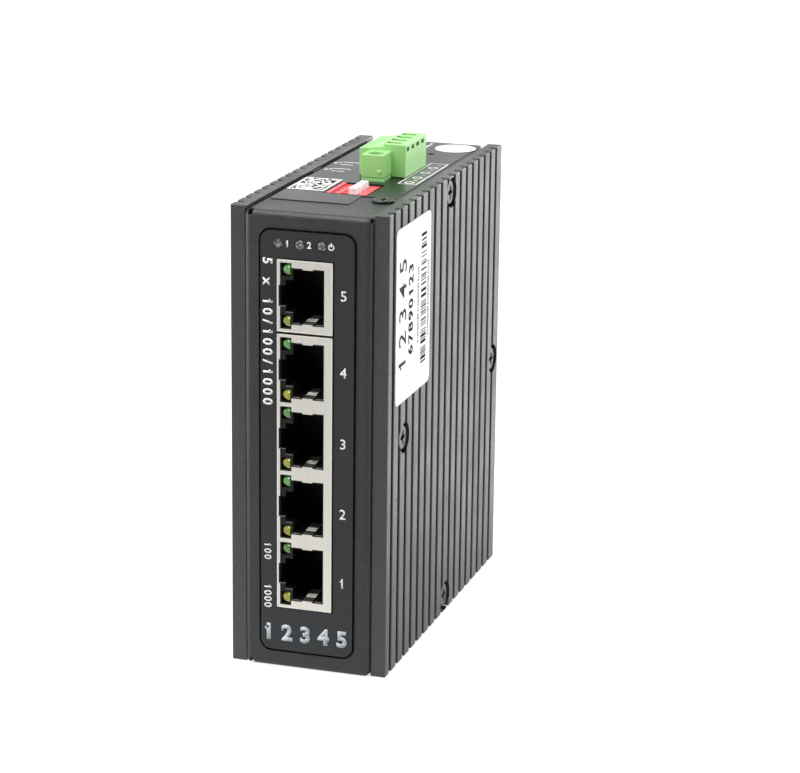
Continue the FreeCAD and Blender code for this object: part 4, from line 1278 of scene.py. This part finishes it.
@dataclass
class PowerPlug:
    """The green plug with its socket, screws and small moulded marks."""

    bench: Bench
    body_edge: float = 0.16
    socket_edge: float = 0.1
    screw_edge: float = 0.12
    pin_edge: float = 0.08
    pip_x: float = 4.0
    pip_drop: float = 5.6
    pip_reach: float = 0.6
    pip_proud: float = 0.18
    rib_places: tuple[float, float] = (-1.9, -0.9)
    rib_half: float = 0.14
    rib_tall: float = 0.1
    rib_short: float = 5.9
    slope_end: float = 3.0
    slope_drop: tuple[float, float] = (1.3, 0.7)
    way_pitch: float = 3.81
    peep_z: float = 113.25
    peep_size: tuple[float, float] = (0.7, 0.9)
    slot_x: float = 3.6
    slot_size: tuple[float, float] = (0.8, 0.9)
    shade_corner: float = 0.1

    def build(self) -> None:
        """Refine the plug and its socket and add the moulded marks."""
        self.bench.refine("power_plug", GREEN_PLASTIC, self.body_edge, PLUG)
        self.bench.refine("power_socket", GREEN_PLASTIC, self.socket_edge)
        for node in ("clamp_screws", "lock_screws"):
            self.bench.refine(node, ZINC, self.screw_edge, PLUG)
        self.bench.refine("socket_pins", ZINC, self.pin_edge)
        self._marks()
        self._shades()

    def _marks(self) -> None:
        """A raised pip on the front ear and fine ribs on the slope."""
        plug = Extent.of("power_plug")
        marks = bmesh.new()
        pip = Matrix.Translation(millimetres(self.pip_x, plug.low.y, plug.high.z - self.pip_drop))
        swell = Matrix.Diagonal((self.pip_reach * MM, self.pip_proud * MM, self.pip_reach * MM, 1))
        bmesh.ops.create_uvsphere(marks, u_segments=20, v_segments=10, radius=1, matrix=pip @ swell)
        self._ribs(marks, plug)
        piece = from_bmesh("plug_marks", marks)
        soften(piece, 0)
        self.bench.place(piece, GREEN_PLASTIC, PLUG)

    def _shades(self) -> None:
        """Painted shade: dark patches in the peep windows and at the wire entries, where the recesses are in
        shadow.
        """
        plug = Extent.of("power_plug")
        shades = bmesh.new()
        for step in range(4):
            y = plug.middle().y - 1.5 * self.way_pitch + self.way_pitch * step
            peep = on_side(Side.RIGHT, plug.high.x + OFF, y, self.peep_z)
            add_rounded(shades, self.peep_size, self.shade_corner, peep)
            slot = on_side(Side.TOP, self.slot_x, y, plug.high.z + OFF)
            add_rounded(shades, self.slot_size, self.shade_corner, slot)
        self.bench.print_on("plug_shades", shades, SHADE, PLUG)

    def _ribs(self, marks: Shape, plug: Extent) -> None:
        """Two fine ribs along the sloping top.

        Args:
            marks: the shape to add to.
            plug: the plug's box.
        """
        front, back = plug.low.y + self.rib_short, plug.high.y - self.rib_short
        low_end, high_end = (plug.high.z - drop for drop in self.slope_drop)
        for across in self.rib_places:
            share = (across - plug.low.x) / (self.slope_end - plug.low.x)
            height = low_end + (high_end - low_end) * share
            low = (across - self.rib_half, front, height - self.rib_tall)
            add_block(marks, low, (across + self.rib_half, back, height + self.rib_tall))


@dataclass
class SettingSwitch:
    """The red switch block, its white levers and its numbers."""

    bench: Bench
    lever_edge: float = 0.12
    number_x: float = -2.1
    number_size: float = 1.2
    number_bold: float = 0.05
    lip_proud: float = 0.05
    lip_over: float = 0.15
    lip_gap: float = 0.1
    lip_lap: float = 0.2
    lip_edge: float = 0.02

    def build(self) -> None:
        """Dress the block, refine the levers and number the channels."""
        self.bench.dress("setting_switch", RED_PLASTIC)
        self._lip()
        ink = bmesh.new()
        face = Extent.of("setting_switch").high.z + OFF
        for number in range(1, 5):
            lever = f"setting_lever_{number}"
            self.bench.refine(lever, WHITE_PLASTIC, self.lever_edge, f"lever_{number}")
            spot = on_side(Side.TOP, self.number_x, Extent.of(lever).middle().y, face)
            add_words(ink, str(number), self.number_size, spot, self.number_bold)
        self.bench.print_on("slide_numbers", ink, PINK_INK)

    def _lip(self) -> None:
        """A low red lip that lies on the film at the block's left end and laps onto the block."""
        block = Extent.of("setting_switch")
        film = Extent.of("top_label").high.z
        end, crown = block.low.x - self.lip_gap, film + self.lip_proud
        lip = bmesh.new()
        low = (block.low.x - SLIDE_LIP, block.low.y - self.lip_over, film)
        add_block(lip, low, (end, block.high.y + self.lip_over, crown))
        low = (end, block.low.y, block.high.z)
        add_block(lip, low, (block.low.x + self.lip_lap, block.high.y, crown))
        piece = from_bmesh("slide_lip", lip)
        soften(piece, self.lip_edge)
        self.bench.place(piece, RED_PLASTIC)


@dataclass
class RailClip:
    """The clip on the back with its latch and spring."""

    bench: Bench
    strip_edge: float = 0.2
    screw_edge: float = 0.25

    def build(self) -> None:
        """Refine the clip's pieces."""
        self.bench.refine("rail_bracket", CLIP, self.strip_edge)
        self.bench.refine("rail_latch", CLIP, self.strip_edge, LATCH)
        self.bench.refine("bracket_screws", ZINC, self.screw_edge)
        self.bench.dress("latch_spring", SPRING)


@dataclass
class Electronics:
    """The board and what it carries, seen only through the openings."""

    bench: Bench
    skins: tuple = (
        ("main_board", BOARD, 0.0),
        ("board_posts", GOLD, 0.15),
        ("board_screws", ZINC, 0.2),
        ("switch_chip", BLACK_PLASTIC, 0.15),
        ("thermal_pad", PAD, 0.3),
        ("capacitors", BLACK_PLASTIC, 0.4),
        ("power_coil", BLACK_PLASTIC, 0.3),
    )

    def build(self) -> None:
        """Refine and dress the hidden pieces."""
        for node, finish, edge in self.skins:
            self.bench.refine(node, finish, edge)


@dataclass
class Studio:
    """Floor, lamps, world and camera."""

    floor_size: float = 8.0
    floor_grey: tuple[float, ...] = (0.45, 0.45, 0.45, 1)
    floor_glow: float = 0.72
    floor_turn: tuple[float, float] = (-0.15, 0.1)
    floor_shine: tuple[float, float] = (0.05, 1.0)
    bright_way: tuple[float, float, float] = (-0.5, 1.0, 0.0)
    sky_turn: tuple[float, float] = (-0.7, 0.5)
    sky_front: float = 0.14
    sky_back: float = 1.0
    lamps: tuple = (
        ("side_soft", (0.9, -0.1, 0.35), 0.6, 4.5),
        ("rear_soft", (0.45, 0.95, 0.22), 0.7, 5.2),
        ("left_soft", (-0.95, -0.25, 0.12), 0.5, 4.5),
        ("front_soft", (-0.5, -0.8, 0.5), 0.2, 1.2),
        ("top_soft", (-0.25, -0.4, 1.0), 0.8, 10.5),
    )
    lamp_aim: tuple[float, float, float] = (0, 0, 0.05)
    camera_place: tuple[float, float, float] = (196.35, -601.40, 232.59)
    yaw: float = 16.802
    pitch: float = 15.987
    roll: float = 0.872
    lens: float = 124.04
    film_width: float = 36.0
    shift: tuple[float, float] = (-0.0376, 0.0213)

    def build(self) -> None:
        """Make the whole studio."""
        self._floor()
        self._world()
        for name, place, size, power in self.lamps:
            self._lamp(name, place, size, power)
        self._camera()

    def _seen(self, tree: Tree) -> Socket:
        """A mask of what the camera or a clear piece sees, as a socket."""
        path = add_node(tree, "LightPath").outputs
        return add_math(tree, "MAXIMUM", path["Is Camera Ray"], path["Is Transmission Ray"])

    def _mirrored(self, tree: Tree, level: Socket) -> Socket:
        """A level that only reflections see, as a socket."""
        return add_math(tree, "MULTIPLY", add_node(tree, "LightPath").outputs["Is Glossy Ray"], level)

    def _towards(self, tree: Tree, coordinates: str) -> Socket:
        """How far a point lies towards the bright side, as a socket."""
        parts = {0: add_node(tree, "TexCoord").outputs[coordinates], 1: self.bright_way}
        return add_node(tree, "VectorMath", parts, operation="DOT_PRODUCT").outputs["Value"]

    def _floor(self) -> None:
        """A pale floor that reads as white and keeps the shadow."""
        sheet = bmesh.new()
        bmesh.ops.create_grid(sheet, x_segments=1, y_segments=1, size=self.floor_size / 2)
        floor = from_bmesh("floor", sheet)
        material = bpy.data.materials.new("studio_floor")
        material.use_nodes = True
        tree = material.node_tree
        tree.nodes.clear()
        fade = add_ramp(tree, self._towards(tree, "Object"), self.floor_turn, self.floor_shine)
        level = add_math(tree, "MULTIPLY_ADD", self._seen(tree), self.floor_glow, self._mirrored(tree, fade))
        matte = add_node(tree, "BsdfDiffuse", {"Color": self.floor_grey}).outputs[0]
        glow = add_node(tree, "Emission", {"Strength": level}).outputs[0]
        both = add_node(tree, "AddShader", {0: matte, 1: glow}).outputs[0]
        add_node(tree, "OutputMaterial", {"Surface": both})
        floor.data.materials.append(material)

    def _world(self) -> None:
        """Soft light, dimmer from the front, that the camera sees as white."""
        world = bpy.data.worlds.new("studio")
        world.use_nodes = True
        bpy.context.scene.world = world
        tree = world.node_tree
        tree.nodes.clear()
        facing = self._towards(tree, "Generated")
        fade = add_ramp(tree, facing, self.sky_turn, interpolation_type="SMOOTHSTEP")
        level = add_ramp(tree, fade, (0.0, 1.0), (self.sky_front, self.sky_back))
        white = {"Color": (1, 1, 1, 1)}
        soft = add_node(tree, "Background", {**white, "Strength": level}).outputs[0]
        clear = add_node(tree, "Background", white).outputs[0]
        shown = add_math(tree, "MAXIMUM", self._seen(tree), self._mirrored(tree, fade))
        mix = add_node(tree, "MixShader", {"Fac": shown, 1: soft, 2: clear}).outputs[0]
        add_node(tree, "OutputWorld", {"Surface": mix})

    def _lamp(self, name: str, place: tuple[float, float, float], size: float, power: float) -> None:
        """One square soft light aimed at the switch.

        Args:
            name: the lamp's name.
            place: where it stands, in metres.
            size: length of its side in metres.
            power: in watts.
        """
        data = bpy.data.lights.new(name, "AREA")
        data.size = size
        data.energy = power
        lamp = bpy.data.objects.new(name, data)
        lamp.location = place
        aim = Vector(self.lamp_aim) - Vector(place)
        lamp.rotation_euler = aim.to_track_quat("-Z", "Y").to_euler()
        lamp.visible_camera = False
        bpy.context.collection.objects.link(lamp)

    def _camera(self) -> None:
        """The camera at the photograph's place and angle."""
        yaw, pitch, roll = (math.radians(angle) for angle in (self.yaw, self.pitch, self.roll))
        ahead = Vector((-math.sin(yaw) * math.cos(pitch), math.cos(yaw) * math.cos(pitch), -math.sin(pitch)))
        right = Vector((math.cos(yaw), math.sin(yaw), 0))
        up = right.cross(ahead)
        right_rolled = math.cos(roll) * right + math.sin(roll) * up
        up_rolled = -math.sin(roll) * right + math.cos(roll) * up
        turn = Matrix((right_rolled, up_rolled, -ahead)).transposed().to_4x4()
        data = bpy.data.cameras.new("photo_camera")
        data.lens = self.lens
        data.sensor_width = self.film_width
        data.sensor_fit = "HORIZONTAL"
        data.shift_x, data.shift_y = self.shift
        camera = bpy.data.objects.new("photo_camera", data)
        camera.matrix_world = Matrix.Translation(Vector(self.camera_place) * MM) @ turn
        bpy.context.collection.objects.link(camera)
        bpy.context.scene.camera = camera


def main() -> None:
    """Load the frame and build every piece."""
    logging.basicConfig(level=logging.INFO, format="%(message)s")
    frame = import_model()
    bpy.context.scene.view_settings.view_transform = "Standard"
    bench = Bench(frame["nodes"], build_grain_group())
    Studio().build()
    for part in (
        Casework, PortBank, FrontPrint, TopPrint, Stickers, PowerPlug, SettingSwitch, RailClip, Electronics
    ):
        LOG.info("building %s", part.__name__)
        part(bench).build()


if __name__ == "__main__":
    main()
